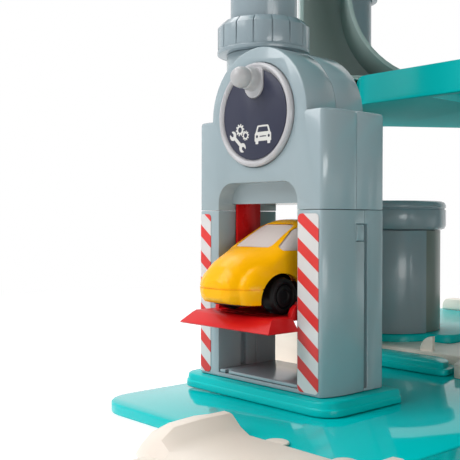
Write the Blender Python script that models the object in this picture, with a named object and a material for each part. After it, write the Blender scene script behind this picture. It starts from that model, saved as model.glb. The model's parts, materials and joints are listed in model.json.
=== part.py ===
import math

import bmesh
import bpy
from mathutils import Matrix

# Toy parking garage: service lift tower with crank, three levels, ramps, kiosk and a toy car.
# Lengths are in millimetres here and are turned into metres when a mesh is made.
# X runs right along the front of the lift tower, Y runs back, Z = 0 is the foot of the tower.
MM = 0.001
ROOT_HALF = math.sqrt(0.5)

# Clearances between neighbours
SEAT = 0.3
SLIDE = 0.6
TURN = 0.4
BED = 0.3

# Base plates
FLOOR = -12.5
PLATE_TOP = -7.3
BASE_X0 = -110.0
BASE_X1 = 270.0
BASE_Y0 = -150.0
BASE_FRONT = -56.0
BASE_Y1 = 330.0
BASE_SPLIT = 110.0
NOSE_X0 = -53.0
STEP_X = -78.0
STEP_Y = 50.0
BACK_Y = 80.0

# Lift tower
TOWER_W = 90.0
TOWER_D = 41.0
CORNER_X = 4.6
CORNER_Y = 17.5
SEAM_Z = 84.0
WING_Z = 129.4
DISC_Z = 129.6
ARCH_R = 32.7
OPEN_HALF = 27.3
OPEN_TOP = 97.5
LINTEL_Z = 87.3
LINTEL_Y = 9.0
SPLIT_Y = 20.5
FRAME_SPLIT_Y = 26.5
SILL_H = 2.0
FLOOR_T = 1.5
GUIDE_Y = 17.5
GUIDE_W = 4.0
GUIDE_DEPTH = 2.4

# Crank wheel and gears
WHEEL_R = 25.0
RIM_W = 2.9
KNOB_R = 17.0
KNOB_OUT = 12.5
KNOB_BALL = 5.2
SHAFT_R = 3.0
PINION_SHAFT_R = 2.0
MODULE = 1.8
CRANK_TEETH = 17
PINION_TEETH = 9
GEAR_Y0 = 17.2
GEAR_T = 5.0
RACK_PITCH_X = -22.9

# Lift platform
DECK_Z = 35.0
PLATFORM_HALF = OPEN_HALF - SLIDE
PLATFORM_T = 1.8
PLATFORM_Y0 = -15.0
PLATFORM_Y1 = 57.0
LIP_HALF = 31.0
LIP_Y = -22.0
LIP_Z = 28.8
MAST_Y0 = 11.0
MAST_Y1 = 27.0
MAST_T = 1.6
MAST_TOP = 124.0
RACK_TOP = 150.0
RAIL_H = 5.5
RAIL_W = 2.6

# Columns, collars and decks
COL_R = 17.6
COL_WALL = 2.3
COL_A = (-27.8, 31.9)
SOCKET_R = 19.6
SOCKET_TOP = 166.2
SOCKET_DEPTH = 6.0
COLLAR_R = 24.6
COLLAR_H = 17.0
COLLAR_FACETS = 16
FACET_GROOVE = 0.55
SKIRT_H = 2.0
SLEEVE_R = 20.5
COLLAR_GAP = 6.4
DECK1_TOP = 165.0
DECK2_TOP = 322.0
DECK_H = 17.5
DECK_SKIN = 3.0
RIM_T = 2.6
DECK1_FRONT = 108.0
DECK1_BACK = 326.0
DECK2_FRONT = 2.0
DECK2_BACK = 266.0
DECK2_LEFT = -108.0
BOSS_R = 21.5
BOSS_DEPTH = 7.0
COL_B = (-88.0, 171.0)
COL_F = (176.0, 134.0)
COL_G = (20.0, 236.0)
COL_R1 = (236.0, 296.0)
COL_L1 = (20.0, 296.0)
SLEEVE_Z = 232.0

# Shaft wall beside the middle deck, in axes turned 45 degrees
SHAFT_U0 = 24.1
SHAFT_U1 = 55.4
SHAFT_V0 = -159.5
SHAFT_V1 = -109.0
SHAFT_T = 2.5
SHAFT_LOW = 49.5
SHAFT_STEP = 112.0
BRACE_R = 55.0
BRACE_END = 102.0

# Kiosk
KIOSK = (-65.0, 188.0)
KIOSK_R = 38.6
KIOSK_WALL = 5.2
PANEL_HALF = 30.7
PANEL_DEPTH = 2.2
PANEL_ANGLE = 42.0
KIOSK_H = 67.3
LID_R = 40.0
LID_H = 19.4
LID_ROUND = 3.0
TERRACE_Z = 5.0

# Ramps
LANE_X0 = 206.0
LANE_X1 = 262.0
RAMP_T = 3.0
RAMP_KERB = 7.0
RAMP_KERB_W = 3.0
RAMP2_Y0 = 60.0
RAMP2_Y1 = 290.0

# Toy car
CAR_NOSE = -28.0
CAR_LENGTH = 78.0
AXLE_F = -1.0
AXLE_R = 31.0
TYRE_R = 8.7
TYRE_W = 8.0
TYRE_OUT = 20.7
AXLE_ROD = 1.1
HUB_R = 5.2

# Stack of heights that follow from the values above
PAD_TOP = -SEAT
TOWER_Z0 = 0.0
HOUSING_Z0 = SEAM_Z + BED / 2
FRAME_TOP = SEAM_Z - BED / 2
HALF_W = TOWER_W / 2
CRANK_R = MODULE * CRANK_TEETH / 2
PINION_R = MODULE * PINION_TEETH / 2
PINION_X = RACK_PITCH_X + PINION_R
PINION_Z = DISC_Z - math.sqrt((CRANK_R + PINION_R) ** 2 - PINION_X ** 2)
COLLAR_Z0 = SOCKET_TOP + SEAT
DECK1_UNDER = DECK1_TOP - DECK_H
DECK2_UNDER = DECK2_TOP - DECK_H
AXLE_Z = DECK_Z + SEAT + TYRE_R

OFFSET = (-(BASE_X0 + BASE_X1) / 2, -(BASE_Y0 + BASE_Y1) / 2, -FLOOR)

for old in list(bpy.data.objects):
    bpy.data.objects.remove(old)

garage = bpy.data.collections.new("toy_parking_garage")
helpers = bpy.data.collections.new("cutters")
bpy.context.scene.collection.children.link(garage)
bpy.context.scene.collection.children.link(helpers)

root = bpy.data.objects.new("root", None)
root.location = [value * MM for value in OFFSET]
garage.objects.link(root)


def material(name, colour, roughness, metallic=0.0, coat=0.0):
    made = bpy.data.materials.new(name)
    made.use_nodes = True
    shader = made.node_tree.nodes["Principled BSDF"]
    shader.inputs["Base Color"].default_value = (*colour, 1.0)
    shader.inputs["Roughness"].default_value = roughness
    shader.inputs["Metallic"].default_value = metallic
    shader.inputs["Coat Weight"].default_value = coat
    return made


TEAL = ((0.0, 0.45, 0.45), 0.2)
CREAM = ((0.83, 0.74, 0.65), 0.4)
GREY = ((0.33, 0.42, 0.46), 0.38)
TUBE = ((0.26, 0.31, 0.35), 0.4)
SHAFT = ((0.2, 0.27, 0.26), 0.4)
RED = ((0.75, 0.02, 0.02), 0.3)
YELLOW = ((0.97, 0.48, 0.01), 0.25)
PALE = ((0.68, 0.62, 0.6), 0.3)
BLACK = ((0.01, 0.01, 0.012), 0.45)
RIM = ((0.68, 0.67, 0.64), 0.35)
NAVY = ((0.05, 0.06, 0.1), 0.5)
STRIPE = ((0.75, 0.4, 0.4), 0.4)
STEEL = ((0.5, 0.5, 0.5), 0.3)


# Outlines
def arc(cx, cy, rx, ry, start, end, count):
    points = []
    for step in range(count + 1):
        angle = math.radians(start + (end - start) * step / count)
        points.append((cx + rx * math.cos(angle), cy + ry * math.sin(angle)))
    return points


def circle(cx, cy, radius, count=48):
    return arc(cx, cy, radius, radius, 0, 360 - 360 / count, count - 1)


def rounded(points, radii, count=5):
    found = []
    total = len(points)
    for index, (x, y) in enumerate(points):
        radius = radii[index] if isinstance(radii, (list, tuple)) else radii
        if radius <= 0:
            found.append((x, y))
            continue
        ax, ay = points[index - 1]
        bx, by = points[(index + 1) % total]
        la = math.hypot(ax - x, ay - y)
        lb = math.hypot(bx - x, by - y)
        ax, ay = (ax - x) / la, (ay - y) / la
        bx, by = (bx - x) / lb, (by - y) / lb
        half = math.acos(max(-1.0, min(1.0, ax * bx + ay * by))) / 2
        reach = radius / math.tan(half)
        mx, my = ax + bx, ay + by
        length = math.hypot(mx, my)
        cx = x + mx / length * radius / math.sin(half)
        cy = y + my / length * radius / math.sin(half)
        start = math.atan2(y + ay * reach - cy, x + ax * reach - cx)
        end = math.atan2(y + by * reach - cy, x + bx * reach - cx)
        turn = (end - start + math.pi) % (2 * math.pi) - math.pi
        for step in range(count + 1):
            angle = start + turn * step / count
            found.append((cx + radius * math.cos(angle), cy + radius * math.sin(angle)))
    return found


def box_outline(x0, y0, x1, y1, radius=0.0, count=5):
    return rounded([(x0, y0), (x1, y0), (x1, y1), (x0, y1)], radius, count)


def area(outline):
    total = 0.0
    for index, (x, y) in enumerate(outline):
        px, py = outline[index - 1]
        total += px * y - x * py
    return total / 2


def inset(outline, distance):
    """The outline moved inwards, point by point; it runs counterclockwise."""
    found = []
    count = len(outline)
    for index, (x, y) in enumerate(outline):
        ax, ay = outline[index - 1]
        bx, by = outline[(index + 1) % count]
        la = math.hypot(x - ax, y - ay)
        lb = math.hypot(bx - x, by - y)
        n1 = (-(y - ay) / la, (x - ax) / la)
        n2 = (-(by - y) / lb, (bx - x) / lb)
        scale = distance / (1 + n1[0] * n2[0] + n1[1] * n2[1])
        found.append((x + (n1[0] + n2[0]) * scale, y + (n1[1] + n2[1]) * scale))
    return found


# Solids
def outward(bm):
    bmesh.ops.recalc_face_normals(bm, faces=bm.faces)
    if bm.calc_volume(signed=True) < 0:
        bmesh.ops.reverse_faces(bm, faces=bm.faces)
    return bm


def loft(rings):
    """A closed solid through rings of 3-D points of equal count."""
    bm = bmesh.new()
    rows = [[bm.verts.new(point) for point in ring] for ring in rings]
    count = len(rows[0])
    for low, high in zip(rows, rows[1:]):
        for index in range(count):
            after = (index + 1) % count
            bm.faces.new((low[index], low[after], high[after], high[index]))
    bm.faces.new(list(reversed(rows[0])))
    bm.faces.new(rows[-1])
    return outward(bm)


def stack(outline, layers):
    """A solid extruded from one outline through several heights, each (height, inset)."""
    if area(outline) < 0:
        outline = list(reversed(outline))
    bm = bmesh.new()
    height, distance = layers[0]
    foot = inset(outline, distance) if distance else outline
    top = bm.faces.new([bm.verts.new((x, y, height)) for x, y in foot])
    for number, (height, distance) in enumerate(layers[1:]):
        found = bmesh.ops.extrude_face_region(bm, geom=[top])
        if number:
            bmesh.ops.delete(bm, geom=[top], context="FACES_ONLY")
        top = next(part for part in found["geom"] if isinstance(part, bmesh.types.BMFace))
        ring = inset(outline, distance) if distance else outline
        for loop, (x, y) in zip(top.loops, ring):
            loop.vert.co = (x, y, height)
    return outward(bm)


def block(outline, z0, z1, top=0.0, bottom=0.0):
    layers = []
    if bottom:
        layers += [(z0, bottom), (z0 + bottom * 0.3, bottom * 0.3), (z0 + bottom, 0.0)]
    else:
        layers.append((z0, 0.0))
    if top:
        layers += [(z1 - top, 0.0), (z1 - top * 0.3, top * 0.3), (z1, top)]
    else:
        layers.append((z1, 0.0))
    return stack(outline, layers)


def moved(bm, matrix):
    bmesh.ops.transform(bm, matrix=matrix, verts=bm.verts)
    return outward(bm)


# Local x, y, z go to world X, Z, Y: a profile seen from the front, drawn back along Y
ALONG_Y = Matrix(((1, 0, 0, 0), (0, 0, 1, 0), (0, 1, 0, 0), (0, 0, 0, 1)))
# Local x, y, z go to world Y, Z, X: a profile seen from the side, drawn along X
ALONG_X = Matrix(((0, 0, 1, 0), (1, 0, 0, 0), (0, 1, 0, 0), (0, 0, 0, 1)))
# Local x, y, z go to u, Z, v, the axes turned 45 degrees
ALONG_V = Matrix(
    (
        (ROOT_HALF, 0, ROOT_HALF, 0),
        (ROOT_HALF, 0, -ROOT_HALF, 0),
        (0, 1, 0, 0),
        (0, 0, 0, 1),
    )
)


def cuboid(x0, x1, y0, y1, z0, z1, radius=0.0):
    if radius:
        return block(box_outline(x0, y0, x1, y1, radius, 3), z0, z1)
    bm = bmesh.new()
    middle = ((x0 + x1) / 2, (y0 + y1) / 2, (z0 + z1) / 2)
    sides = Matrix.Diagonal((x1 - x0, y1 - y0, z1 - z0, 1.0))
    bmesh.ops.create_cube(bm, size=1.0, matrix=Matrix.Translation(middle) @ sides)
    return outward(bm)


def cylinder(x, y, radius, z0, z1, count=48):
    bm = bmesh.new()
    bmesh.ops.create_cone(
        bm,
        cap_ends=True,
        segments=count,
        radius1=radius,
        radius2=radius,
        depth=z1 - z0,
        matrix=Matrix.Translation((x, y, (z0 + z1) / 2)),
    )
    return outward(bm)


def rod_y(x, z, radius, y0, y1, count=32):
    return moved(cylinder(x, z, radius, y0, y1, count), ALONG_Y)


def rod_x(y, z, radius, x0, x1, count=24):
    return moved(cylinder(y, z, radius, x0, x1, count), ALONG_X)


def lathe(profile, count=48, centre=(0.0, 0.0, 0.0), axis="Z"):
    """A closed profile of (radius, height) turned round an axis through the centre."""
    bm = bmesh.new()
    points = [bm.verts.new((radius, 0.0, height)) for radius, height in profile]
    edges = []
    for index, point in enumerate(points):
        after = points[(index + 1) % len(points)]
        if abs(point.co.x) < 1e-9 and abs(after.co.x) < 1e-9:
            continue
        edges.append(bm.edges.new((point, after)))
    bmesh.ops.spin(
        bm,
        geom=points + edges,
        cent=(0, 0, 0),
        axis=(0, 0, 1),
        angle=2 * math.pi,
        steps=count,
    )
    bmesh.ops.remove_doubles(bm, verts=bm.verts, dist=1e-4)
    turn = {
        "Z": Matrix(),
        "Y": Matrix.Rotation(math.pi / 2, 4, "X"),
        "X": Matrix.Rotation(math.pi / 2, 4, "Y"),
    }
    return moved(bm, Matrix.Translation(centre) @ turn[axis])


def mesh_of(bm, name, at):
    matrix = Matrix.Scale(MM, 4) @ Matrix.Translation([-value for value in at])
    bmesh.ops.transform(bm, matrix=matrix, verts=bm.verts)
    mesh = bpy.data.meshes.new(name)
    bm.to_mesh(mesh)
    bm.free()
    return mesh


def piece(name, bm, look, at=(0.0, 0.0, 0.0)):
    made = bpy.data.objects.new(name, mesh_of(bm, name, at))
    made.location = [value * MM for value in at]
    made.parent = root
    made.data.materials.append(material(name + "_material", *look))
    garage.objects.link(made)
    return made


def helper(name, bm):
    made = bpy.data.objects.new(name, mesh_of(bm, name, (0.0, 0.0, 0.0)))
    made.parent = root
    made.hide_render = True
    made.display_type = "WIRE"
    helpers.objects.link(made)
    return made


def combine(target, operation, *solids):
    for bm in solids:
        count = len(target.modifiers)
        label = f"{target.name}_{operation.lower()}_{count}"
        tool = bm if isinstance(bm, bpy.types.Object) else helper(label, bm)
        change = target.modifiers.new(label, "BOOLEAN")
        change.operation = operation
        change.solver = "EXACT"
        change.object = tool
    return target


def cut(target, *solids):
    return combine(target, "DIFFERENCE", *solids)


def join(target, *solids):
    return combine(target, "UNION", *solids)


# Base plates
left_plate = rounded(
    [
        (NOSE_X0, BASE_FRONT),
        (BASE_SPLIT - SEAT / 2, BASE_FRONT),
        (BASE_SPLIT - SEAT / 2, BASE_Y1),
        (BASE_X0, BASE_Y1),
        (BASE_X0, BACK_Y),
        (STEP_X, BACK_Y),
        (STEP_X, STEP_Y),
        (NOSE_X0, STEP_Y),
    ],
    [18, 0, 0, 34, 8, 5, 5, 5],
)
base_left = piece("base_left", block(left_plate, FLOOR, PLATE_TOP, 0.9, 0.6), TEAL)

# A tongue of the left plate drops into a notch of the right plate
TONGUES = (20.0, 230.0)
TONGUE_W = 22.0
TONGUE_L = 14.0
right_plate = rounded(
    [
        (BASE_SPLIT + SEAT / 2, BASE_FRONT),
        (BASE_X1, BASE_FRONT),
        (BASE_X1, BASE_Y1),
        (BASE_SPLIT + SEAT / 2, BASE_Y1),
    ],
    [0, 18, 34, 0],
)
base_right = piece("base_right", block(right_plate, FLOOR, PLATE_TOP, 0.9, 0.6), TEAL)
for tongue_y in TONGUES:
    tongue = box_outline(
        BASE_SPLIT - 2, tongue_y - TONGUE_W / 2, BASE_SPLIT + TONGUE_L, tongue_y + TONGUE_W / 2, 1.5, 3
    )
    join(base_left, block(tongue, FLOOR + 1.0, PLATE_TOP - 1.2))
    notch = box_outline(
        BASE_SPLIT - 4,
        tongue_y - TONGUE_W / 2 - SEAT,
        BASE_SPLIT + TONGUE_L + SEAT,
        tongue_y + TONGUE_W / 2 + SEAT,
        1.5,
        3,
    )
    cut(base_right, block(notch, FLOOR + 1.0 - SEAT, PLATE_TOP + 1.0))

# Pad under the lift tower, in two tiers
PAD_X = 52.0
PAD_Y0 = -6.5
PAD_Y1 = 47.5
pad_outline = box_outline(-PAD_X, PAD_Y0, PAD_X, PAD_Y1, [11, 11, 3, 3], 8)
pad_foot = PLATE_TOP + SEAT
lift_pad = piece(
    "lift_pad",
    stack(
        pad_outline,
        [
            (pad_foot, 0.5),
            (pad_foot + 0.5, 0.0),
            (pad_foot + 3.2, 0.15),
            (pad_foot + 3.5, 0.7),
            (PAD_TOP - 0.9, 1.0),
            (PAD_TOP - 0.3, 1.3),
            (PAD_TOP, 1.9),
        ],
    ),
    TEAL,
)

# Entry road in front of the tower, between two kerbs
ROAD_MID = 79.0
ROAD_HALF = 38.0
LUG_R = 5.0
KERB_TOP = 1.4
ROAD_BACK = -50.0
lip_low = PLATE_TOP + SEAT


def road_ring(y, outer, kerb, surface):
    """One section of the entry road: floor edge, kerb slope, kerb, lane, kerb, slope."""
    low = FLOOR
    half = []
    half.append((outer, low))
    edge = min(2.4, (kerb - 1.2 - low) * 0.6)
    shoulder = ROAD_HALF + 8.5
    half.append((outer - 2.0, low + edge))
    half.append((shoulder + (outer - 2.0 - shoulder) * 0.55, low + edge + (kerb - 1.2 - low - edge) * 0.58))
    half.append((shoulder, kerb - 1.2))
    half.append((ROAD_HALF + 6.0, kerb))
    half.append((ROAD_HALF + 2.0, kerb - 0.2))
    half.append((ROAD_HALF - 3.0, surface + (kerb - surface) * 0.35))
    half.append((ROAD_HALF - 8.0, surface))
    right = [(ROAD_MID + x, y, z) for x, z in half]
    left = [(ROAD_MID - x, y, z) for x, z in reversed(half)]
    return right + left


road_front = piece(
    "road_front",
    loft(
        [
            road_ring(ROAD_BACK, 79.0, KERB_TOP - 0.8, PLATE_TOP + 1.3),
            road_ring(ROAD_BACK - 1.0, 79.0, KERB_TOP, PLATE_TOP + 1.6),
            road_ring(-66.0, 75.0, KERB_TOP, PLATE_TOP + 1.5),
            road_ring(-80.0, 63.0, KERB_TOP - 0.8, PLATE_TOP + 0.6),
            road_ring(-86.0, 57.0, -3.4, PLATE_TOP - 1.3),
            road_ring(-89.0, 49.5, -9.4, FLOOR + 2.5),
            road_ring(-118.0, 49.0, -10.2, FLOOR + 1.4),
            road_ring(BASE_Y0, 48.8, FLOOR + 2.0, FLOOR + 0.8),
        ]
    ),
    CREAM,
)
# Below its rear lip the road stops short of the base plate; a round lug lies beside each kerb
cut(
    road_front,
    cuboid(ROAD_MID - 90.0, ROAD_MID + 90.0, BASE_FRONT - SEAT, ROAD_BACK + 20.0, FLOOR - 5.0, lip_low),
)
for lug_x in (ROAD_MID - 17.0, ROAD_MID + 17.0):
    lug = circle(lug_x, ROAD_BACK + 2.0, LUG_R, 24)
    join(road_front, block(lug, lip_low + 0.15, PLATE_TOP + 1.25, 0.5))

# Short road and wall behind the tower
WALL_Y = 75.0
WALL_TOP = 16.0
road_back = piece(
    "road_back",
    block(box_outline(-75.0, PAD_Y1 + SEAT, 9.0, WALL_Y + 3.0, 2.0, 3), lip_low, PLATE_TOP + 1.6, 0.4),
    CREAM,
)
wall_outline = rounded(
    [(-74.0, lip_low + 0.5), (8.0, lip_low + 0.5), (8.0, WALL_TOP), (-74.0, WALL_TOP)],
    [0, 0, 9, 9],
)
join(
    road_back,
    moved(block(wall_outline, WALL_Y, WALL_Y + 2.6), ALONG_Y),
)

# Raised pad strip and the cream road behind it
STRIP_Y0 = 115.0
STRIP_Y1 = 140.0
STRIP_X1 = 29.0
strip_outline = box_outline(-70.0, STRIP_Y0, STRIP_X1, STRIP_Y1, [6, 5, 19, 6], 6)
rear_pad = piece(
    "rear_pad",
    stack(
        strip_outline,
        [
            (pad_foot, 0.5),
            (pad_foot + 0.5, 0.0),
            (pad_foot + 3.3, 0.15),
            (pad_foot + 3.5, 3.0),
            (PAD_TOP - 0.9, 3.2),
            (PAD_TOP - 0.3, 3.5),
            (PAD_TOP, 4.1),
        ],
    ),
    TEAL,
)
ROAD_TOP = 0.5
ROAD_REAR_Y1 = COL_L1[1] - COLLAR_R - COLLAR_GAP
rear_outline = rounded(
    [
        (-106.0, STRIP_Y1 + 1.0),
        (STRIP_X1 - 3.0, STRIP_Y1 + 1.0),
        (STRIP_X1 + 5.0, STRIP_Y0 + 2.0),
        (190.0, STRIP_Y0 + 2.0),
        (190.0, ROAD_REAR_Y1),
        (-8.0, ROAD_REAR_Y1),
        (-8.0, 178.0),
        (-106.0, 178.0),
    ],
    [4, 8, 4, 20, 20, 4, 2, 4],
)
road_rear = piece("road_rear", block(rear_outline, lip_low, ROAD_TOP, 0.6), CREAM)

# Terrace with the round foot of the kiosk
terrace_box = box_outline(BASE_X0 + 2.0, 180.0, -11.0, BASE_Y1 - 4.0, 10, 5)
terrace = piece("terrace", block(terrace_box, pad_foot, TERRACE_Z, 0.8), TEAL)
join(terrace, block(circle(*KIOSK, LID_R + 0.5, 40), pad_foot, TERRACE_Z, 0.8))
cut(road_rear, block(inset(strip_outline, -SEAT), pad_foot - 2, TERRACE_Z + 3))
cut(
    road_rear,
    cylinder(*KIOSK, LID_R + 0.5 + SEAT, pad_foot - 2, TERRACE_Z + 3, 40),
    block(inset(terrace_box, -SEAT), pad_foot - 2, TERRACE_Z + 3),
)
# Quarter round fin on the road
FIN = (2.5, 144.0)
fin = [(0.0, 0.0)] + [(-x, y) for x, y in arc(0, 0, 9.0, 10.0, 0, 90, 8)]
fin = [(FIN[0] + x, ROAD_TOP - 1.0 + y) for x, y in fin]
join(road_rear, moved(block(fin, FIN[1], FIN[1] + 2.4), ALONG_Y))

# Kerb along the back of the terrace
kerb_back = piece(
    "kerb_back",
    moved(
        block(
            rounded(
                [(-103.0, TERRACE_Z + SEAT), (-16.0, TERRACE_Z + SEAT), (-16.0, 14.5), (-103.0, 14.5)],
                [0, 0, 6, 6],
            ),
            BASE_Y1 - 16.0,
            BASE_Y1 - 8.0,
            0.8,
            0.8,
        ),
        ALONG_Y,
    ),
    CREAM,
)


# Lift tower: lower frame in a front and a rear half
def tower_outline(y0, y1, grow=0.0):
    points = []
    if y0 < CORNER_Y:
        points += arc(-HALF_W + CORNER_X, CORNER_Y, CORNER_X, CORNER_Y, 180, 270, 8)
        points += arc(HALF_W - CORNER_X, CORNER_Y, CORNER_X, CORNER_Y, 270, 360, 8)
    else:
        points += [(-HALF_W, y0), (HALF_W, y0)]
    if y1 >= TOWER_D:
        points += arc(HALF_W - 2.0, y1 - 2.0, 2.0, 2.0, 0, 90, 4)
        points += arc(-HALF_W + 2.0, y1 - 2.0, 2.0, 2.0, 90, 180, 4)
    else:
        points += [(HALF_W, y1), (-HALF_W, y1)]
    return points


lower_gap = cuboid(-OPEN_HALF, OPEN_HALF, -5, TOWER_D + 5, TOWER_Z0 + SILL_H, SEAM_Z + 5)
frame_front = piece(
    "frame_front",
    block(tower_outline(0.0, FRAME_SPLIT_Y - SEAT / 2), TOWER_Z0, FRAME_TOP, 0.0, 0.4),
    GREY,
)
cut(frame_front, lower_gap)
frame_rear = piece(
    "frame_rear",
    block(tower_outline(FRAME_SPLIT_Y + SEAT / 2, TOWER_D), TOWER_Z0, FRAME_TOP, 0.0, 0.4),
    GREY,
)
cut(frame_rear, cuboid(-OPEN_HALF, OPEN_HALF, -5, TOWER_D + 5, TOWER_Z0 + SILL_H, SEAM_Z + 5))
for side in (-1, 1):
    inner = side * OPEN_HALF
    outer = side * HALF_W
    # Guide groove in the inner wall
    x0, x1 = sorted((inner - side * 2.0, inner + side * GUIDE_DEPTH))
    cut(frame_front, cuboid(x0, x1, GUIDE_Y - GUIDE_W / 2, GUIDE_Y + GUIDE_W / 2, TOWER_Z0 + 4.2, SEAM_Z + 5))
    # Groove down the outer wall at the joint of the halves
    x0, x1 = sorted((outer - side * 3.0, outer + side * 2.0))
    cut(frame_rear, cuboid(x0, x1, FRAME_SPLIT_Y - 3.0, FRAME_SPLIT_Y + 2.2, TOWER_Z0 + 1.5, SEAM_Z - 6.5))
    # Pocket of the latch
    x0, x1 = sorted((outer - side * 2.0, outer + side * 2.0))
    cut(frame_front, cuboid(x0, x1, FRAME_SPLIT_Y - 6.2, FRAME_SPLIT_Y + 1.0, 69.4, 77.6))
    name = "latch_left" if side < 0 else "latch_right"
    x0, x1 = sorted((outer - side * (2.0 - SEAT), outer + side * 0.1))
    piece(name, cuboid(x0, x1, FRAME_SPLIT_Y - 6.2 + SEAT, FRAME_SPLIT_Y - 0.4, 69.4 + SEAT, 77.6 - SEAT), GREY)

# Plate on the sill
lift_floor = piece(
    "lift_floor",
    block(
        box_outline(-OPEN_HALF + SEAT, 0.4, OPEN_HALF - SEAT, TOWER_D - 0.6, 0.8, 3),
        TOWER_Z0 + SILL_H + SEAT,
        TOWER_Z0 + SILL_H + SEAT + FLOOR_T,
        0.3,
    ),
    GREY,
)
cut(lift_floor, cuboid(-22.8, -20.0, -2.0, 2.8, 0.0, 10.0))

# Upper housing in a front and a rear half shell
housing_front = piece(
    "housing_front",
    block(tower_outline(0.0, SPLIT_Y - SEAT / 2), HOUSING_Z0, WING_Z, 1.6),
    GREY,
)
join(housing_front, moved(block(circle(0.0, DISC_Z, ARCH_R, 48), 0.0, SPLIT_Y - SEAT / 2, 0.0, 1.2), ALONG_Y))
housing_rear = piece(
    "housing_rear",
    block(tower_outline(SPLIT_Y + SEAT / 2, TOWER_D), HOUSING_Z0, WING_Z, 1.6),
    GREY,
)
join(
    housing_rear,
    moved(block(circle(0.0, DISC_Z, ARCH_R, 48), SPLIT_Y + SEAT / 2, TOWER_D, 1.2), ALONG_Y),
    stack(circle(*COL_A, SOCKET_R, 48), [(100.0, 13.0), (112.0, 0.0), (SOCKET_TOP, 0.0)]),
)
front_opening = rounded(
    [(-OPEN_HALF, SEAM_Z - 3), (OPEN_HALF, SEAM_Z - 3), (OPEN_HALF, OPEN_TOP), (-OPEN_HALF, OPEN_TOP)],
    [0, 0, 9.5, 9.5],
    7,
)
cut(
    housing_front,
    moved(block(front_opening, -3.0, LINTEL_Y), ALONG_Y),
    cuboid(-OPEN_HALF, OPEN_HALF, LINTEL_Y - 1, TOWER_D, SEAM_Z - 3, LINTEL_Z),
    rod_y(0.0, DISC_Z, WHEEL_R + SEAT + 0.1, -3.0, 1.4, 48),
    cylinder(*COL_A, SOCKET_R + SEAT, 98.0, SOCKET_TOP + 5),
    rod_y(0.0, DISC_Z, SHAFT_R + TURN, -3.0, TOWER_D, 24),
    rod_y(PINION_X, PINION_Z, PINION_SHAFT_R + TURN, LINTEL_Y + 3.0, TOWER_D, 20),
)
cut(
    housing_rear,
    cuboid(-OPEN_HALF, OPEN_HALF, 0.0, TOWER_D + 20, SEAM_Z - 3, LINTEL_Z),
    rod_y(0.0, DISC_Z, SHAFT_R + TURN, 0.0, TOWER_D - 8.0, 24),
    rod_y(PINION_X, PINION_Z, PINION_SHAFT_R + TURN, 0.0, TOWER_D - 8.0, 20),
    cylinder(*COL_A, COL_R + SEAT, SOCKET_TOP - SOCKET_DEPTH, SOCKET_TOP + 5),
)
CHAMBER_Y0 = GEAR_Y0 - 1.2
CHAMBER_Y1 = GEAR_Y0 + GEAR_T + 1.2
SLOT_X0 = -PLATFORM_HALF - SLIDE
SLOT_X1 = RACK_PITCH_X + 2.2
for shell in (housing_front, housing_rear):
    cut(
        shell,
        rod_y(0.0, DISC_Z, CRANK_R + 2.6, CHAMBER_Y0, CHAMBER_Y1, 48),
        rod_y(PINION_X, PINION_Z, PINION_R + 2.4, CHAMBER_Y0, CHAMBER_Y1, 32),
        cuboid(SLOT_X0, SLOT_X1, MAST_Y0 - 0.5, MAST_Y1 + 0.5, SEAM_Z - 2, MAST_TOP + 7.0),
        cuboid(SLOT_X0, SLOT_X1, GEAR_Y0 - 0.8, GEAR_Y0 + GEAR_T + 0.8, SEAM_Z - 2, RACK_TOP + 7.0),
    )

# Striped labels on the fronts of the two pillars
LABEL_T = 0.35
for side, name in ((-1, "stripe_label_left"), (1, "stripe_label_right")):
    inner = OPEN_HALF + (0.9 if side > 0 else 5.9)
    x0, x1 = sorted((side * inner, side * (HALF_W - CORNER_X)))
    label = box_outline(x0, TOWER_Z0 + 1.2, x1, FRAME_TOP - 1.6, 2.0, 4)
    piece(name, moved(block(label, -LABEL_T - 0.05, -0.05), ALONG_Y), STRIPE)


# Gear train
def gear_outline(teeth, phase, cx, cz):
    radius = MODULE * teeth / 2
    tip = radius + MODULE * 0.72
    foot = radius - MODULE * 0.95
    points = []
    for tooth in range(teeth):
        centre = phase + 2 * math.pi * tooth / teeth
        pitch = 2 * math.pi / teeth
        for share, at in ((-0.32, foot), (-0.12, tip), (0.12, tip), (0.32, foot)):
            angle = centre + share * pitch
            points.append((cx + at * math.cos(angle), cz + at * math.sin(angle)))
    return points


LINE_ANGLE = math.atan2(PINION_Z - DISC_Z, PINION_X)
PINION_PHASE = LINE_ANGLE + math.pi + math.pi / PINION_TEETH
gear_ring = gear_outline(CRANK_TEETH, LINE_ANGLE, 0.0, DISC_Z)
pinion_ring = gear_outline(PINION_TEETH, PINION_PHASE, PINION_X, PINION_Z)
drive_gear = piece(
    "drive_gear",
    moved(block(gear_ring, GEAR_Y0, GEAR_Y0 + GEAR_T), ALONG_Y),
    STEEL,
    (0.0, 0.0, DISC_Z),
)
join(drive_gear, rod_y(0.0, DISC_Z, SHAFT_R, 0.3, TOWER_D - 8.6, 24))
drive_pinion = piece(
    "drive_pinion",
    moved(block(pinion_ring, GEAR_Y0, GEAR_Y0 + GEAR_T), ALONG_Y),
    STEEL,
    (PINION_X, 0.0, PINION_Z),
)
join(drive_pinion, rod_y(PINION_X, PINION_Z, PINION_SHAFT_R, LINTEL_Y + 3.6, TOWER_D - 8.6, 20))

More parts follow.
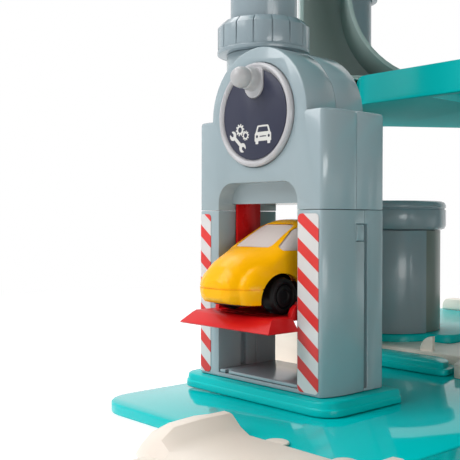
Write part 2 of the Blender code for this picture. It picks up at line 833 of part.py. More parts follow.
# Crank wheel: a rim, a thin disc and a knob with a ball end
wheel_profile = [
    (SHAFT_R + 0.25, 0.9),
    (WHEEL_R - 0.6, 0.9),
    (WHEEL_R - 0.1, 0.4),
    (WHEEL_R, -1.2),
    (WHEEL_R - 0.5, -2.1),
    (WHEEL_R - RIM_W / 2, -2.5),
    (WHEEL_R - RIM_W + 0.5, -2.1),
    (WHEEL_R - RIM_W, -1.4),
    (WHEEL_R - RIM_W - 0.2, -0.7),
    (SHAFT_R + 0.25, -0.7),
]
wheel_profile = [(radius, -height) for radius, height in wheel_profile]
crank_wheel = piece("crank_wheel", lathe(wheel_profile, 44, (0.0, 0.0, DISC_Z), "Y"), RIM, (0.0, 0.0, DISC_Z))
TAB_R = 6.2
TAB_LOW = 14.2
tab = [(x, DISC_Z + z) for x, z in arc(0, TAB_LOW, TAB_R, TAB_R, 180, 360, 12)]
tab += [(TAB_R, DISC_Z + WHEEL_R - 2.4), (-TAB_R, DISC_Z + WHEEL_R - 2.4)]
knob_profile = [(0.0, 0.0), (6.1, 0.0), (5.8, 1.5), (5.6, 3.8), (5.1, KNOB_OUT - KNOB_BALL - 1.6)]
knob_profile += [
    (radius, KNOB_OUT - KNOB_BALL + 0.9 + height)
    for radius, height in arc(0.0, 0.0, KNOB_BALL, KNOB_BALL, -26, 66, 4)
]
knob_profile.append((0.0, KNOB_OUT + 0.9))
join(
    crank_wheel,
    moved(block(tab, -2.2, 0.0, 0.0, 0.4), ALONG_Y),
    lathe(knob_profile, 20, (0.0, -1.6, DISC_Z + KNOB_R), "Y"),
)

# Navy label inside the rim, clear of the tab
label_face = cylinder(0.0, DISC_Z, WHEEL_R - RIM_W - 0.55, -1.5, -0.95)
wheel_label = piece("wheel_label", moved(label_face, ALONG_Y), NAVY, (0.0, 0.0, DISC_Z))
clear = [(x, DISC_Z + z) for x, z in arc(0, TAB_LOW, TAB_R + 0.35, TAB_R + 0.35, 180, 360, 12)]
clear += [(TAB_R + 0.35, DISC_Z + WHEEL_R + 3), (-TAB_R - 0.35, DISC_Z + WHEEL_R + 3)]
cut(wheel_label, moved(block(clear, -4.0, 1.0), ALONG_Y))

# Lift platform: floor, lip in front, side rails, mast with rack and guide ribs
lift_platform = piece(
    "lift_platform",
    block(
        box_outline(-PLATFORM_HALF, PLATFORM_Y0 + 6, PLATFORM_HALF, PLATFORM_Y1, 0.8, 2),
        DECK_Z - PLATFORM_T,
        DECK_Z,
    ),
    RED,
    (0.0, 0.0, 0.0),
)


def rect_ring(x, y0, y1, z):
    return [(-x, y0, z), (x, y0, z), (x, y1, z), (-x, y1, z)]


LIP_BACK = -2.9
join(
    lift_platform,
    loft(
        [
            rect_ring(LIP_HALF - 0.3, LIP_Y + 0.4, LIP_BACK, LIP_Z),
            rect_ring(LIP_HALF, LIP_Y, LIP_BACK, LIP_Z + 0.5),
            rect_ring(PLATFORM_HALF + 0.7, PLATFORM_Y0 - 1.6, LIP_BACK, DECK_Z - 0.9),
            rect_ring(PLATFORM_HALF, PLATFORM_Y0, LIP_BACK, DECK_Z),
        ]
    ),
)
cut(
    lift_platform,
    loft(
        [
            rect_ring(LIP_HALF - 1.4, LIP_Y + 1.7, LIP_BACK + 8, LIP_Z - 1.0),
            rect_ring(LIP_HALF - 1.9, LIP_Y + 2.3, LIP_BACK + 8, LIP_Z + 0.6),
            rect_ring(PLATFORM_HALF - 2.6, PLATFORM_Y0 + 2.6, LIP_BACK + 8, DECK_Z - PLATFORM_T),
        ]
    ),
)
rail_side = [
    (LIP_BACK + 0.2, DECK_Z - 0.8),
    (PLATFORM_Y1 - 0.6, DECK_Z - 0.8),
    (PLATFORM_Y1 - 0.6, DECK_Z + RAIL_H),
]
rail_side += list(reversed(arc(LIP_BACK + 0.2 + RAIL_H, DECK_Z, RAIL_H, RAIL_H, 90, 180, 6)))[::-1]
rib_half = GUIDE_W / 2 - 0.5
for side in (-1, 1):
    x0, x1 = sorted((side * PLATFORM_HALF, side * (PLATFORM_HALF - RAIL_W)))
    join(lift_platform, moved(block(rail_side, x0, x1), ALONG_X))
    x0, x1 = sorted((side * (PLATFORM_HALF - 0.5), side * (OPEN_HALF + GUIDE_DEPTH - SLIDE)))
    join(
        lift_platform,
        cuboid(x0, x1, GUIDE_Y - rib_half, GUIDE_Y + rib_half, DECK_Z - PLATFORM_T, DECK_Z + RAIL_H - 0.6),
    )
MAST_X0 = -PLATFORM_HALF + 0.2
RACK_STEP = math.pi * MODULE
rack_tip = RACK_PITCH_X + MODULE * 0.72
offset_angle = (PINION_PHASE - math.pi) % (2 * math.pi / PINION_TEETH)
rack_start = PINION_Z - PINION_R * offset_angle + RACK_STEP / 2
rack = [(MAST_X0, MAST_TOP - 10), (MAST_X0, RACK_TOP)]
mast_face = MAST_X0 + MAST_T
teeth_low = int((86.0 - rack_start) / RACK_STEP)
teeth_high = int((RACK_TOP - 3.0 - rack_start) / RACK_STEP)
rack_points = [(MAST_X0, 84.0)]
for tooth in range(teeth_low, teeth_high + 1):
    middle = rack_start + tooth * RACK_STEP
    for share, x in ((-0.32, mast_face - 0.2), (-0.12, rack_tip), (0.12, rack_tip), (0.32, mast_face - 0.2)):
        rack_points.append((x, middle + share * RACK_STEP))
rack_points += [(mast_face - 0.2, RACK_TOP), (MAST_X0, RACK_TOP)]
join(
    lift_platform,
    cuboid(MAST_X0, mast_face, MAST_Y0, MAST_Y1, DECK_Z - 0.6, MAST_TOP),
    moved(block(rack_points, GEAR_Y0, GEAR_Y0 + GEAR_T), ALONG_Y),
)
for slot_x, slot_y in ((-11.0, -8.6), (9.0, -8.6), (-11.0, -3.4), (9.0, -3.4)):
    cut(
        lift_platform,
        cuboid(slot_x - 6.5, slot_x + 6.5, slot_y - 0.9, slot_y + 0.9, DECK_Z - 5, DECK_Z + 3),
    )


# Columns and the ribbed collars at their feet
def tube(name, centre, z0, z1, look=TUBE, radius=COL_R, wall=COL_WALL):
    profile = [(radius - wall, z0), (radius, z0), (radius, z1), (radius - wall, z1)]
    return piece(name, lathe(profile, 32, (*centre, 0.0)), look, (*centre, z0))


def collar(name, centre, z0, height=COLLAR_H, facets=COLLAR_FACETS):
    """A ring nut with flat facets between fine grooves, a plain skirt and a chamfered top."""
    top = z0 + height
    layers = (
        (z0, 0.4, 0.0),
        (z0 + 0.4, 0.0, 0.0),
        (z0 + SKIRT_H, 0.0, 0.0),
        (z0 + SKIRT_H + 0.3, 0.4, FACET_GROOVE),
    )
    layers += ((top - 3.2, 0.4, FACET_GROOVE), (top, 3.2, FACET_GROOVE))
    rings = []
    for z, less, groove in layers:
        ring = []
        for facet in range(facets):
            for share, depth in ((-0.42, 0.0), (0.42, 0.0), (0.46, groove), (0.54, groove)):
                angle = (facet + share) * 2 * math.pi / facets
                radius = COLLAR_R - less - depth
                ring.append((centre[0] + radius * math.cos(angle), centre[1] + radius * math.sin(angle), z))
        rings.append(ring)
    made = piece(name, loft(rings), TUBE, (*centre, z0))
    cut(made, cylinder(*centre, COL_R + TURN, z0 - 3, z0 + height + 3, 36))
    return made


# Deck outlines
chamfer_u = SHAFT_U1 + 3.3
deck1_left = (
    (ROOT_HALF * (chamfer_u - 99.0), ROOT_HALF * (chamfer_u + 99.0)),
    (ROOT_HALF * (chamfer_u - 210.0), ROOT_HALF * (chamfer_u + 210.0)),
)
deck1_outline = rounded(
    [
        (LANE_X1, DECK1_FRONT),
        (LANE_X1, DECK1_BACK),
        (-2.0, DECK1_BACK),
        (-80.0, 208.0),
        deck1_left[1],
        (2 * chamfer_u * ROOT_HALF - DECK1_FRONT, DECK1_FRONT),
    ],
    [6, 24, 20, 10, 8, 16],
    6,
)
deck2_outline = rounded(
    [
        (LANE_X1, DECK2_FRONT),
        (LANE_X1, RAMP2_Y0 - 0.5),
        (LANE_X0 - 3.0, RAMP2_Y0 - 0.5),
        (LANE_X0 - 3.0, DECK2_BACK),
        (-20.0, DECK2_BACK),
        (DECK2_LEFT, 196.0),
        (DECK2_LEFT, 80.0),
        (-58.0, DECK2_FRONT),
    ],
    [16, 3, 3, 24, 24, 24, 24, 24],
    6,
)


def deck_pockets(x0, x1, y0, y1, nx, ny, rib, avoid, outline):
    """Rectangles of a rib grid that stay inside the outline and clear of the bosses."""
    found = []
    core = inset(outline if area(outline) > 0 else list(reversed(outline)), RIM_T + 0.6)
    step_x = (x1 - x0) / nx
    step_y = (y1 - y0) / ny
    for ix in range(nx):
        for iy in range(ny):
            ax, bx = x0 + ix * step_x + rib / 2, x0 + (ix + 1) * step_x - rib / 2
            ay, by = y0 + iy * step_y + rib / 2, y0 + (iy + 1) * step_y - rib / 2
            corners = [(ax, ay), (bx, ay), (bx, by), (ax, by)]
            if not all(inside(core, point) for point in corners):
                continue
            near = False
            for cx, cy, reach in avoid:
                dx = max(ax - cx, 0, cx - bx)
                dy = max(ay - cy, 0, cy - by)
                near = near or math.hypot(dx, dy) < reach
            if not near:
                found.append((ax, ay, bx, by))
    return found


def inside(outline, point):
    x, y = point
    odd = False
    for index, (bx, by) in enumerate(outline):
        ax, ay = outline[index - 1]
        if (ay > y) != (by > y) and x < (bx - ax) * (y - ay) / (by - ay) + ax:
            odd = not odd
    return odd


BOSS_CLEAR = BOSS_R + 1.5
# Middle deck: skin, rim with a thin lip line and a rib grid below
deck_1 = piece(
    "deck_1",
    stack(
        deck1_outline,
        [
            (DECK1_UNDER, 0.4),
            (DECK1_UNDER + 0.4, 0.0),
            (DECK1_UNDER + 2.0, 0.0),
            (DECK1_UNDER + 2.2, 0.6),
            (DECK1_TOP - 0.8, 0.6),
            (DECK1_TOP - 0.2, 0.8),
            (DECK1_TOP, 1.4),
        ],
    ),
    TEAL,
)
join(deck_1, cylinder(*COL_B, BOSS_R + 0.5, DECK1_UNDER + 0.2, DECK1_TOP - 0.1))
bosses_1 = (COL_B, COL_F, COL_G, COL_R1, COL_L1)
bosses = [(*centre, BOSS_CLEAR) for centre in bosses_1]
pockets = deck_pockets(
    -100.0, LANE_X1, DECK1_FRONT + 4.0, DECK1_BACK - 4.0, 6, 4, 2.4, bosses, deck1_outline
)
for ax, ay, bx, by in pockets:
    cut(deck_1, cuboid(ax, bx, ay, by, DECK1_UNDER - 3, DECK1_TOP - DECK_SKIN))
for centre in (COL_F, COL_R1, COL_L1):
    cut(deck_1, cylinder(*centre, COL_R + SEAT, DECK1_UNDER - 3, DECK1_UNDER + BOSS_DEPTH, 40))
for centre in (COL_B, COL_G, COL_F):
    cut(deck_1, cylinder(*centre, COL_R + SEAT, DECK1_TOP - 4.0, DECK1_TOP + 3, 40))

# Top deck with its raised edge
deck_2 = piece(
    "deck_2",
    stack(
        deck2_outline,
        [
            (DECK2_UNDER, 0.4),
            (DECK2_UNDER + 0.4, 0.0),
            (DECK2_UNDER + 2.0, 0.0),
            (DECK2_UNDER + 2.2, 0.6),
            (DECK2_TOP - 0.8, 0.6),
            (DECK2_TOP - 0.2, 0.8),
            (DECK2_TOP, 1.4),
        ],
    ),
    TEAL,
)
bosses_2 = (COL_A, COL_B, COL_F, COL_G)
bosses = [(*centre, BOSS_CLEAR) for centre in bosses_2]
pockets = deck_pockets(
    DECK2_LEFT + 4.0, 200.0, DECK2_FRONT + 4.0, DECK2_BACK - 4.0, 5, 4, 2.4, bosses, deck2_outline
)
for ax, ay, bx, by in pockets:
    cut(deck_2, cuboid(ax, bx, ay, by, DECK2_UNDER - 3, DECK2_TOP - DECK_SKIN))
for centre in (COL_A, COL_B, COL_F, COL_G):
    cut(deck_2, cylinder(*centre, COL_R + SEAT, DECK2_UNDER - 3, DECK2_UNDER + BOSS_DEPTH, 40))

# Columns
tube("column_a", COL_A, SOCKET_TOP - SOCKET_DEPTH + SEAT, DECK2_UNDER + BOSS_DEPTH - SEAT)
collar("collar_a", COL_A, COLLAR_Z0)
tube("column_b", COL_B, DECK1_TOP - 4.0 + SEAT, DECK2_UNDER + BOSS_DEPTH - SEAT)
tube("column_f_upper", COL_F, DECK1_TOP - 4.0 + SEAT, DECK2_UNDER + BOSS_DEPTH - SEAT)
tube("column_g", COL_G, DECK1_TOP - 4.0 + SEAT, DECK2_UNDER + BOSS_DEPTH - SEAT)
sleeve_profile = [
    (COL_R + SEAT, SLEEVE_Z),
    (SLEEVE_R + 1.2, SLEEVE_Z),
    (SLEEVE_R + 1.2, SLEEVE_Z + 2.0),
    (SLEEVE_R, SLEEVE_Z + 2.6),
    (SLEEVE_R, DECK2_UNDER - SEAT),
    (COL_R + SEAT, DECK2_UNDER - SEAT),
]
piece("sleeve_b", lathe(sleeve_profile, 32, (*COL_B, 0.0)), TUBE, (*COL_B, SLEEVE_Z))
for name, centre in (("column_f_lower", COL_F), ("column_rear_right", COL_R1), ("column_rear_left", COL_L1)):
    tube(name, centre, PLATE_TOP + SEAT, DECK1_UNDER + BOSS_DEPTH - SEAT)
for name, centre in (("collar_f", COL_F), ("collar_rear_right", COL_R1), ("collar_rear_left", COL_L1)):
    collar(name, centre, PLATE_TOP + SEAT, COLLAR_H, COLLAR_FACETS // 2)
for name, centre in (("collar_f_upper", COL_F), ("collar_g", COL_G)):
    collar(name, centre, DECK1_TOP + SEAT, COLLAR_H * 0.6, COLLAR_FACETS // 2)
cut(
    road_rear,
    cylinder(*COL_F, COLLAR_R + 1.0, pad_foot - 2, TERRACE_Z + 3, 40),
)

# Shaft wall: a panel with a flange that curves out onto the middle deck
shaft_foot = PLATE_TOP + SEAT
shaft_outline = [
    (SHAFT_U0, shaft_foot),
    (SHAFT_LOW, shaft_foot),
    (SHAFT_LOW, SHAFT_STEP),
    (SHAFT_U1, SHAFT_STEP + 12.0),
    (SHAFT_U1, DECK1_TOP + SEAT),
]
brace_centre = (SHAFT_U1 + BRACE_R, DECK1_TOP + SEAT + BRACE_R)
end_angle = 270 - math.degrees(math.asin((brace_centre[0] - BRACE_END) / BRACE_R))
shaft_outline += [(BRACE_END, DECK1_TOP + SEAT)]
shaft_outline += arc(*brace_centre, BRACE_R, BRACE_R, end_angle, 180, 14)
shaft_outline += [(SHAFT_U1, DECK2_UNDER - SEAT), (SHAFT_U0, DECK2_UNDER - SEAT)]
shaft_wall = piece("shaft_wall", moved(block(shaft_outline, SHAFT_V0, SHAFT_V1), ALONG_V), SHAFT)
inner_outline = [
    (SHAFT_U0 + SHAFT_T, shaft_foot + SHAFT_T),
    (SHAFT_LOW - SHAFT_T, shaft_foot + SHAFT_T),
    (SHAFT_LOW - SHAFT_T, SHAFT_STEP + 1.0),
    (SHAFT_U1 - SHAFT_T, SHAFT_STEP + 13.0),
]
inner_outline += [(SHAFT_U1 - SHAFT_T, DECK1_TOP + SEAT + SHAFT_T)]
inner_r = BRACE_R + SHAFT_T
reach = math.degrees(math.acos((BRACE_R - SHAFT_T) / inner_r))
inner_outline += arc(*brace_centre, inner_r, inner_r, 270 - reach, 180, 14)
inner_top = DECK2_UNDER - SEAT - SHAFT_T
inner_outline += [(SHAFT_U1 - SHAFT_T, inner_top), (SHAFT_U0 + SHAFT_T, inner_top)]
cut(shaft_wall, moved(block(inner_outline, SHAFT_V0 + SHAFT_T, SHAFT_V1 + 5), ALONG_V))

footprint = box_outline(SHAFT_U0 - SEAT, SHAFT_V0 - SEAT, SHAFT_LOW + SEAT, SHAFT_V1 + SEAT)
EIGHTH_TURN = Matrix(
    ((ROOT_HALF, ROOT_HALF, 0, 0), (ROOT_HALF, -ROOT_HALF, 0, 0), (0, 0, 1, 0), (0, 0, 0, 1))
)
for plate in (road_rear, rear_pad):
    foot_cut = block(footprint, shaft_foot - 5, TERRACE_Z + 5)
    cut(plate, moved(foot_cut, EIGHTH_TURN))

# Kiosk: a hollow drum with a sunk panel in its wall, and its lid
kiosk_z = TERRACE_Z + SEAT
kiosk_profile = [
    (KIOSK_R - KIOSK_WALL, kiosk_z),
    (KIOSK_R, kiosk_z),
    (KIOSK_R, kiosk_z + KIOSK_H),
    (KIOSK_R - KIOSK_WALL, kiosk_z + KIOSK_H),
]
kiosk_body = piece("kiosk_body", lathe(kiosk_profile, 40, (*KIOSK, 0.0)), TUBE, (*KIOSK, kiosk_z))
panel = helper(
    "kiosk_panel",
    moved(
        cuboid(10.0, 60.0, -PANEL_HALF, PANEL_HALF, kiosk_z - 2.0, kiosk_z + KIOSK_H + 2.0),
        Matrix.Translation((*KIOSK, 0.0)) @ Matrix.Rotation(math.radians(PANEL_ANGLE), 4, "Z"),
    ),
)
cut(panel, cylinder(*KIOSK, KIOSK_R - PANEL_DEPTH, kiosk_z - 4.0, kiosk_z + KIOSK_H + 4.0))
cut(kiosk_body, panel)
lid_z = kiosk_z + KIOSK_H + SEAT
lid_top = lid_z + LID_H
lid_round = LID_R - LID_ROUND
lid_profile = [(0.0, lid_z)]
lid_profile += arc(lid_round, lid_z + LID_ROUND, LID_ROUND, LID_ROUND, -90, 0, 2)
lid_profile += [
    (LID_R, lid_top - 6.0),
    (LID_R - 0.8, lid_top - 5.6),
    (LID_R - 0.8, lid_top - 4.9),
    (LID_R, lid_top - 4.5),
]
lid_profile += arc(lid_round, lid_top - LID_ROUND, LID_ROUND, LID_ROUND, 0, 90, 2)
lid_profile.append((0.0, lid_top))
kiosk_lid = piece("kiosk_lid", lathe(lid_profile, 32, (*KIOSK, 0.0)), TUBE, (*KIOSK, lid_z))


# Ramps: a slab with a kerb along each side
def ramp(name, y_high, z_high, y_low, z_low):
    slope = [(y_low, z_low), (y_high, z_high)]
    run = y_high - y_low
    rise = z_high - z_low
    length = math.hypot(run, rise)
    down = (rise / length * RAMP_T * math.copysign(1, run), -abs(run) / length * RAMP_T)
    side = [(y_low, z_low), (y_high, z_high), (y_high, z_high + down[1]), (y_low + down[0] * 2.2, z_low)]
    made = piece(name, moved(block(side, LANE_X0, LANE_X1), ALONG_X), CREAM)
    up = RAMP_KERB / math.hypot(run, rise) * abs(run)
    kerb = [
        (y_low + math.copysign(4.0, run), z_low + abs(rise / run) * 4.0 - 1.5),
        (y_high, z_high - 1.5),
        (y_high, z_high + up),
        (y_low + math.copysign(9.0, run), z_low + abs(rise / run) * 9.0 + up),
        (y_low + math.copysign(4.0, run), z_low + abs(rise / run) * 4.0 + up * 0.3),
    ]
    join(made, moved(block(kerb, LANE_X0, LANE_X0 + RAMP_KERB_W), ALONG_X))
    join(made, moved(block(kerb, LANE_X1 - RAMP_KERB_W, LANE_X1), ALONG_X))
    return made


ramp_lower = ramp("ramp_lower", DECK1_FRONT - SEAT, DECK1_TOP, BASE_Y0, FLOOR)
ramp_upper = ramp("ramp_upper", RAMP2_Y0 + 0.2, DECK2_TOP, RAMP2_Y1, DECK1_TOP + SEAT)

# Post under the lower ramp
post_x = (LANE_X0 + LANE_X1) / 2
post_y = (DECK1_FRONT + BASE_Y0) / 2 + 20.0
ramp_slope = (DECK1_TOP - FLOOR) / (DECK1_FRONT - SEAT - BASE_Y0)
post_top = FLOOR + (post_y - 6.0 - BASE_Y0) * ramp_slope - RAMP_T * 1.6
post_side = [
    (post_y - 6.0, PLATE_TOP + SEAT),
    (post_y + 6.0, PLATE_TOP + SEAT),
    (post_y + 6.0, post_top + 12.0 * ramp_slope),
    (post_y - 6.0, post_top),
]
ramp_post = piece("ramp_post", moved(block(post_side, post_x - 16.0, post_x + 16.0), ALONG_X), SHAFT)

# Parapets on the top deck
PARAPET_H = 14.0
PARAPET_T = 3.0
parapet_line = [
    (-20.0, DECK2_BACK),
    (DECK2_LEFT, 196.0),
    (DECK2_LEFT, 80.0),
    (-58.0, DECK2_FRONT),
    (LANE_X1 - 10.0, DECK2_FRONT),
]


def parapet(name, line, radii):
    """An upright wall that follows a line of points inside the deck edge."""
    path = rounded(line, radii, 6)
    left = []
    right = []
    for index, (x, y) in enumerate(path):
        ax, ay = path[max(index - 1, 0)]
        bx, by = path[min(index + 1, len(path) - 1)]
        length = math.hypot(bx - ax, by - ay)
        nx, ny = -(by - ay) / length, (bx - ax) / length
        left.append((x + nx * 3.0, y + ny * 3.0))
        right.append((x + nx * (3.0 + PARAPET_T), y + ny * (3.0 + PARAPET_T)))
    wall = block(right + list(reversed(left)), DECK2_TOP + SEAT, DECK2_TOP + PARAPET_H, 0.8)
    return piece(name, wall, CREAM)


parapet("parapet", parapet_line, [0, 24, 24, 24, 0])


# Toy car: body shell, glazing, chassis, axles and wheels
# Each station: distance behind the nose, half width, underside, belt line and top
CAR_STATIONS = (
    (0.0, 4.0, 44.6, 47.5, 50.0),
    (0.8, 7.0, 42.6, 47.7, 52.0),
    (2.6, 9.8, 41.4, 48.6, 54.5),
    (6.0, 13.9, 40.4, 50.5, 57.8),
    (11.0, 18.0, 40.2, 53.0, 61.8),
    (16.0, 20.1, 40.2, 55.0, 64.4),
    (20.0, 20.4, 40.2, 57.0, 65.7),
    (24.0, 20.4, 40.2, 59.0, 66.6),
    (27.0, 20.4, 40.2, 60.5, 68.4),
    (31.0, 20.4, 40.2, 61.8, 71.0),
    (35.0, 20.4, 40.2, 62.5, 73.4),
    (42.0, 20.4, 40.2, 63.0, 77.7),
    (48.0, 20.4, 40.2, 63.0, 79.4),
    (54.0, 20.4, 40.2, 62.8, 79.7),
    (60.0, 20.4, 40.2, 61.8, 78.0),
    (65.0, 20.3, 40.2, 59.5, 74.6),
    (69.5, 19.8, 40.2, 56.5, 69.4),
    (73.0, 18.4, 40.6, 53.4, 63.5),
    (75.8, 15.6, 41.8, 50.5, 57.6),
    (77.4, 11.8, 43.6, 49.0, 53.4),
    (78.0, 8.0, 46.0, 48.6, 50.8),
)
FENDER_R = 15.4
FENDER_IN = 12.0
FENDER_OUT = 21.6
FENDER_LONG = 1.1
FENDER_SHIFT = (-2.0, 0.0)
ARCH_LONG = 13.2
ARCH_HIGH = 10.6


def car_ring(station, grow=0.0, floor=None):
    y, half, low, belt, top = station
    half += grow
    top += grow
    base = low if floor is None else floor
    radius = min(2.5, half * 0.3)
    right = [(0.0, base), (half * 0.5, base), (half - radius, base)]
    right += [(half - radius * 0.3, base + radius * 0.3), (half, base + radius)]
    right += [(half, base + radius + (belt - base - radius) * 0.5)]
    for step in range(6):
        angle = math.radians(90.0 * step / 6)
        x = half * math.cos(angle) ** (2 / 2.35)
        z = belt + (top - belt) * math.sin(angle) ** (2 / 2.1)
        right.append((x, z))
    right.append((0.0, top))
    left = [(-x, z) for x, z in reversed(right[1:-1])]
    return [(x, CAR_NOSE + y, z) for x, z in right + left]


def car_loft(grow=0.0, first=0, last=None, floor=None, shift=0.0):
    rings = []
    for along, *rest in CAR_STATIONS[first:last]:
        along += shift * (1 - 2 * along / CAR_LENGTH)
        rings.append(car_ring((along, *rest), grow, floor))
    return loft(rings)


car_at = (0.0, AXLE_F, AXLE_Z)
car_body = piece("car_body", car_loft(), YELLOW, car_at)
# Each fender swells round its wheel arch, soft at its rim
fender_profile = [(0.0, FENDER_IN), (FENDER_R, FENDER_IN)]
for angle in (0.0, 9.0, 24.0, 45.0, 70.0):
    turn = math.radians(angle)
    reach = (FENDER_OUT - FENDER_IN - 2.0) * math.sqrt(math.sin(turn))
    fender_profile.append((FENDER_R * math.sqrt(math.cos(turn)), FENDER_IN + 2.0 + reach))
fender_profile.append((0.0, FENDER_OUT))
for axle_y, forward in zip((AXLE_F, AXLE_R), FENDER_SHIFT):
    for side in (-1, 1):
        fender = lathe(fender_profile, 20, (0.0, 0.0, 0.0), "X")
        fender = moved(fender, Matrix.Diagonal((side, FENDER_LONG, 1.0, 1.0)))
        join(car_body, moved(fender, Matrix.Translation((0.0, axle_y + forward, AXLE_Z))))
cut(car_body, cuboid(-40, 40, CAR_NOSE - 5, CAR_NOSE + CAR_LENGTH + 5, 20.0, 40.2))
cavity = car_loft(-2.0, 3, 19, 38.0)
cut(car_body, cavity)
for axle_y in (AXLE_F, AXLE_R):
    for side in (-1, 1):
        x0, x1 = sorted((side * 11.5, side * 30.0))
        arch = rod_x(0.0, 0.0, ARCH_HIGH, x0, x1, 32)
        arch = moved(arch, Matrix.Diagonal((1.0, ARCH_LONG / ARCH_HIGH, 1.0, 1.0)))
        cut(car_body, moved(arch, Matrix.Translation((0.0, axle_y - 0.4, AXLE_Z))))


# Window openings, wider for the body and narrower for the glazing
def pane(half_low, half_high, low, high, radii, gap):
    corners = [(-half_low, low), (half_low, low), (half_high, high), (-half_high, high)]
    return inset(rounded(corners, radii, 4), gap)


def windows(gap):
    shield = pane(12.6, 10.9, 66.3, 77.1, [1.5, 1.5, 2.5, 2.5], gap)
    back = pane(12.5, 10.0, 65.0, 75.0, [3, 3, 4, 4], gap)
    side = rounded(
        [
            (CAR_NOSE + 24.8, 64.9),
            (CAR_NOSE + 64.0, 64.9),
            (CAR_NOSE + 57.0, 75.6),
            (CAR_NOSE + 41.5, 75.6),
        ],
        [1.2, 3, 5, 6],
        4,
    )
    return (
        moved(block(shield, CAR_NOSE + 5.0, CAR_NOSE + 44.0), ALONG_Y),
        moved(block(inset(side, gap), -30.0, 30.0), ALONG_X),
        moved(block(back, CAR_NOSE + 54.0, CAR_NOSE + 80.0), ALONG_Y),
    )


cut(car_body, *windows(0.0))
car_windows = piece("car_windows", car_loft(-2.4, 7, 16, 55.0), PALE, car_at)
for index, bm in enumerate(windows(0.3)):
    pad = helper(f"glazing_{index}", bm)
    shell = helper(f"glazing_shell_{index}", car_loft(-0.5))
    combine(pad, "INTERSECT", shell)
    join(car_windows, pad)

# Chassis with the axle bearings
chassis = piece(
    "car_chassis",
    block(
        box_outline(-10.8, CAR_NOSE + 9.0, 10.8, CAR_NOSE + CAR_LENGTH - 9.0, 2.5, 3),
        39.4,
        47.4,
        0.5,
        0.8,
    ),
    BLACK,
    car_at,
)
for axle_y in (AXLE_F, AXLE_R):
    cut(chassis, rod_x(axle_y, AXLE_Z, AXLE_ROD + TURN, -30, 30, 20))
for label, axle_y in (("front", AXLE_F), ("rear", AXLE_R)):
    axle = rod_x(axle_y, AXLE_Z, AXLE_ROD, -TYRE_OUT + 2.0, TYRE_OUT - 2.0, 16)
    piece(f"axle_{label}", axle, STEEL, (0.0, axle_y, AXLE_Z))
    for side, word in ((-1, "left"), (1, "right")):
        inner = TYRE_OUT - TYRE_W
        profile = [
            (AXLE_ROD + 0.15, inner),
            (TYRE_R - 1.6, inner),
            (TYRE_R - 0.5, inner + 0.4),
            (TYRE_R, inner + 1.4),
            (TYRE_R, TYRE_OUT - 1.6),
            (TYRE_R - 0.9, TYRE_OUT - 0.3),
            (TYRE_R - 2.3, TYRE_OUT),
            (HUB_R + 0.7, TYRE_OUT - 0.4),
            (HUB_R + 0.4, TYRE_OUT - 1.2),
            (HUB_R, TYRE_OUT - 1.2),
            (HUB_R - 0.3, TYRE_OUT - 0.3),
            (3.0, TYRE_OUT - 0.3),
            (2.6, TYRE_OUT - 1.0),
            (0.0, TYRE_OUT - 0.8),
            (0.0, TYRE_OUT - 1.7),
            (AXLE_ROD + 0.15, TYRE_OUT - 1.7),
        ]
        wheel = lathe(profile, 20, (0.0, axle_y, AXLE_Z), "X")
        if side < 0:
            wheel = moved(wheel, Matrix.Diagonal((-1.0, 1.0, 1.0, 1.0)))
        piece(f"wheel_{label}_{word}", wheel, BLACK, (0.0, axle_y, AXLE_Z))
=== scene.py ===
import json
import math

import bmesh
import bpy
from mathutils import Matrix, Vector

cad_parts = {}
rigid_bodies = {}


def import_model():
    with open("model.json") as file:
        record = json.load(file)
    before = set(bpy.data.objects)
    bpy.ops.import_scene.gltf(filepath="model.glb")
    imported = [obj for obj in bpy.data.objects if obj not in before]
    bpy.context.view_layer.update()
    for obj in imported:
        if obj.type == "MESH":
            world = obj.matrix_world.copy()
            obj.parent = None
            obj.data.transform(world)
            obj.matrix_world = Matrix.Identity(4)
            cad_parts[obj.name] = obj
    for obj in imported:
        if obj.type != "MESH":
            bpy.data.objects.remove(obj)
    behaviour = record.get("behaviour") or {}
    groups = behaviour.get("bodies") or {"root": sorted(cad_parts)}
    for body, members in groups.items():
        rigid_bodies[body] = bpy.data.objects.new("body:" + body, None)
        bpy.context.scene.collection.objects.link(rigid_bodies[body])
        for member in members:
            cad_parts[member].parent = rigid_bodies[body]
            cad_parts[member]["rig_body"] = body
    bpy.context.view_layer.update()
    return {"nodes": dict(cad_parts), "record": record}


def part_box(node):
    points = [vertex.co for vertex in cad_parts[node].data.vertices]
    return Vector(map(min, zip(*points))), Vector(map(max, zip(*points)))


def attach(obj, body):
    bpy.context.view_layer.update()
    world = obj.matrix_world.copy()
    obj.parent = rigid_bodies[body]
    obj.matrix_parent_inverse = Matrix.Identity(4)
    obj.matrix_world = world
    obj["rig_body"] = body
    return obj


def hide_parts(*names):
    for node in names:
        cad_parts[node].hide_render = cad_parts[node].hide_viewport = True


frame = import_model()

# Lengths are in millimetres in the tower's own axes, as in the CAD source: X right along the
# front of the lift tower, Y back, Z = 0 at the tower's foot
MM = 0.001
SHIFT = Vector((-80.0, -90.0, 12.5))

# Camera
CAMERA_AT = (199.7, -356.9, 91.4)
CAMERA_PITCH = -0.67
CAMERA_ROLL = -0.10
CAMERA_YAW = 48.19
CAMERA_LENS = 62.84

PICTURE = bpy.context.scene.collection
WHITE = (1.0, 1.0, 1.0, 1.0)


def world_point(x, y, z):
    return (Vector((x, y, z)) + SHIFT) * MM


# Finishes: patterns in repeats per metre, the grain's height in metres, edges by their pointiness
DRIFT_SCALE = 22.0
HAZE_SCALE = 75.0
GRAIN_SCALE = 900.0
GRAIN_HEIGHT = 0.00012
EDGE_FROM = 0.53
EDGE_GAIN = 14.0
EDGE_ROUGHER = 0.4
COAT_ROUGHNESS = 0.06
PLASTIC_IOR = 1.5


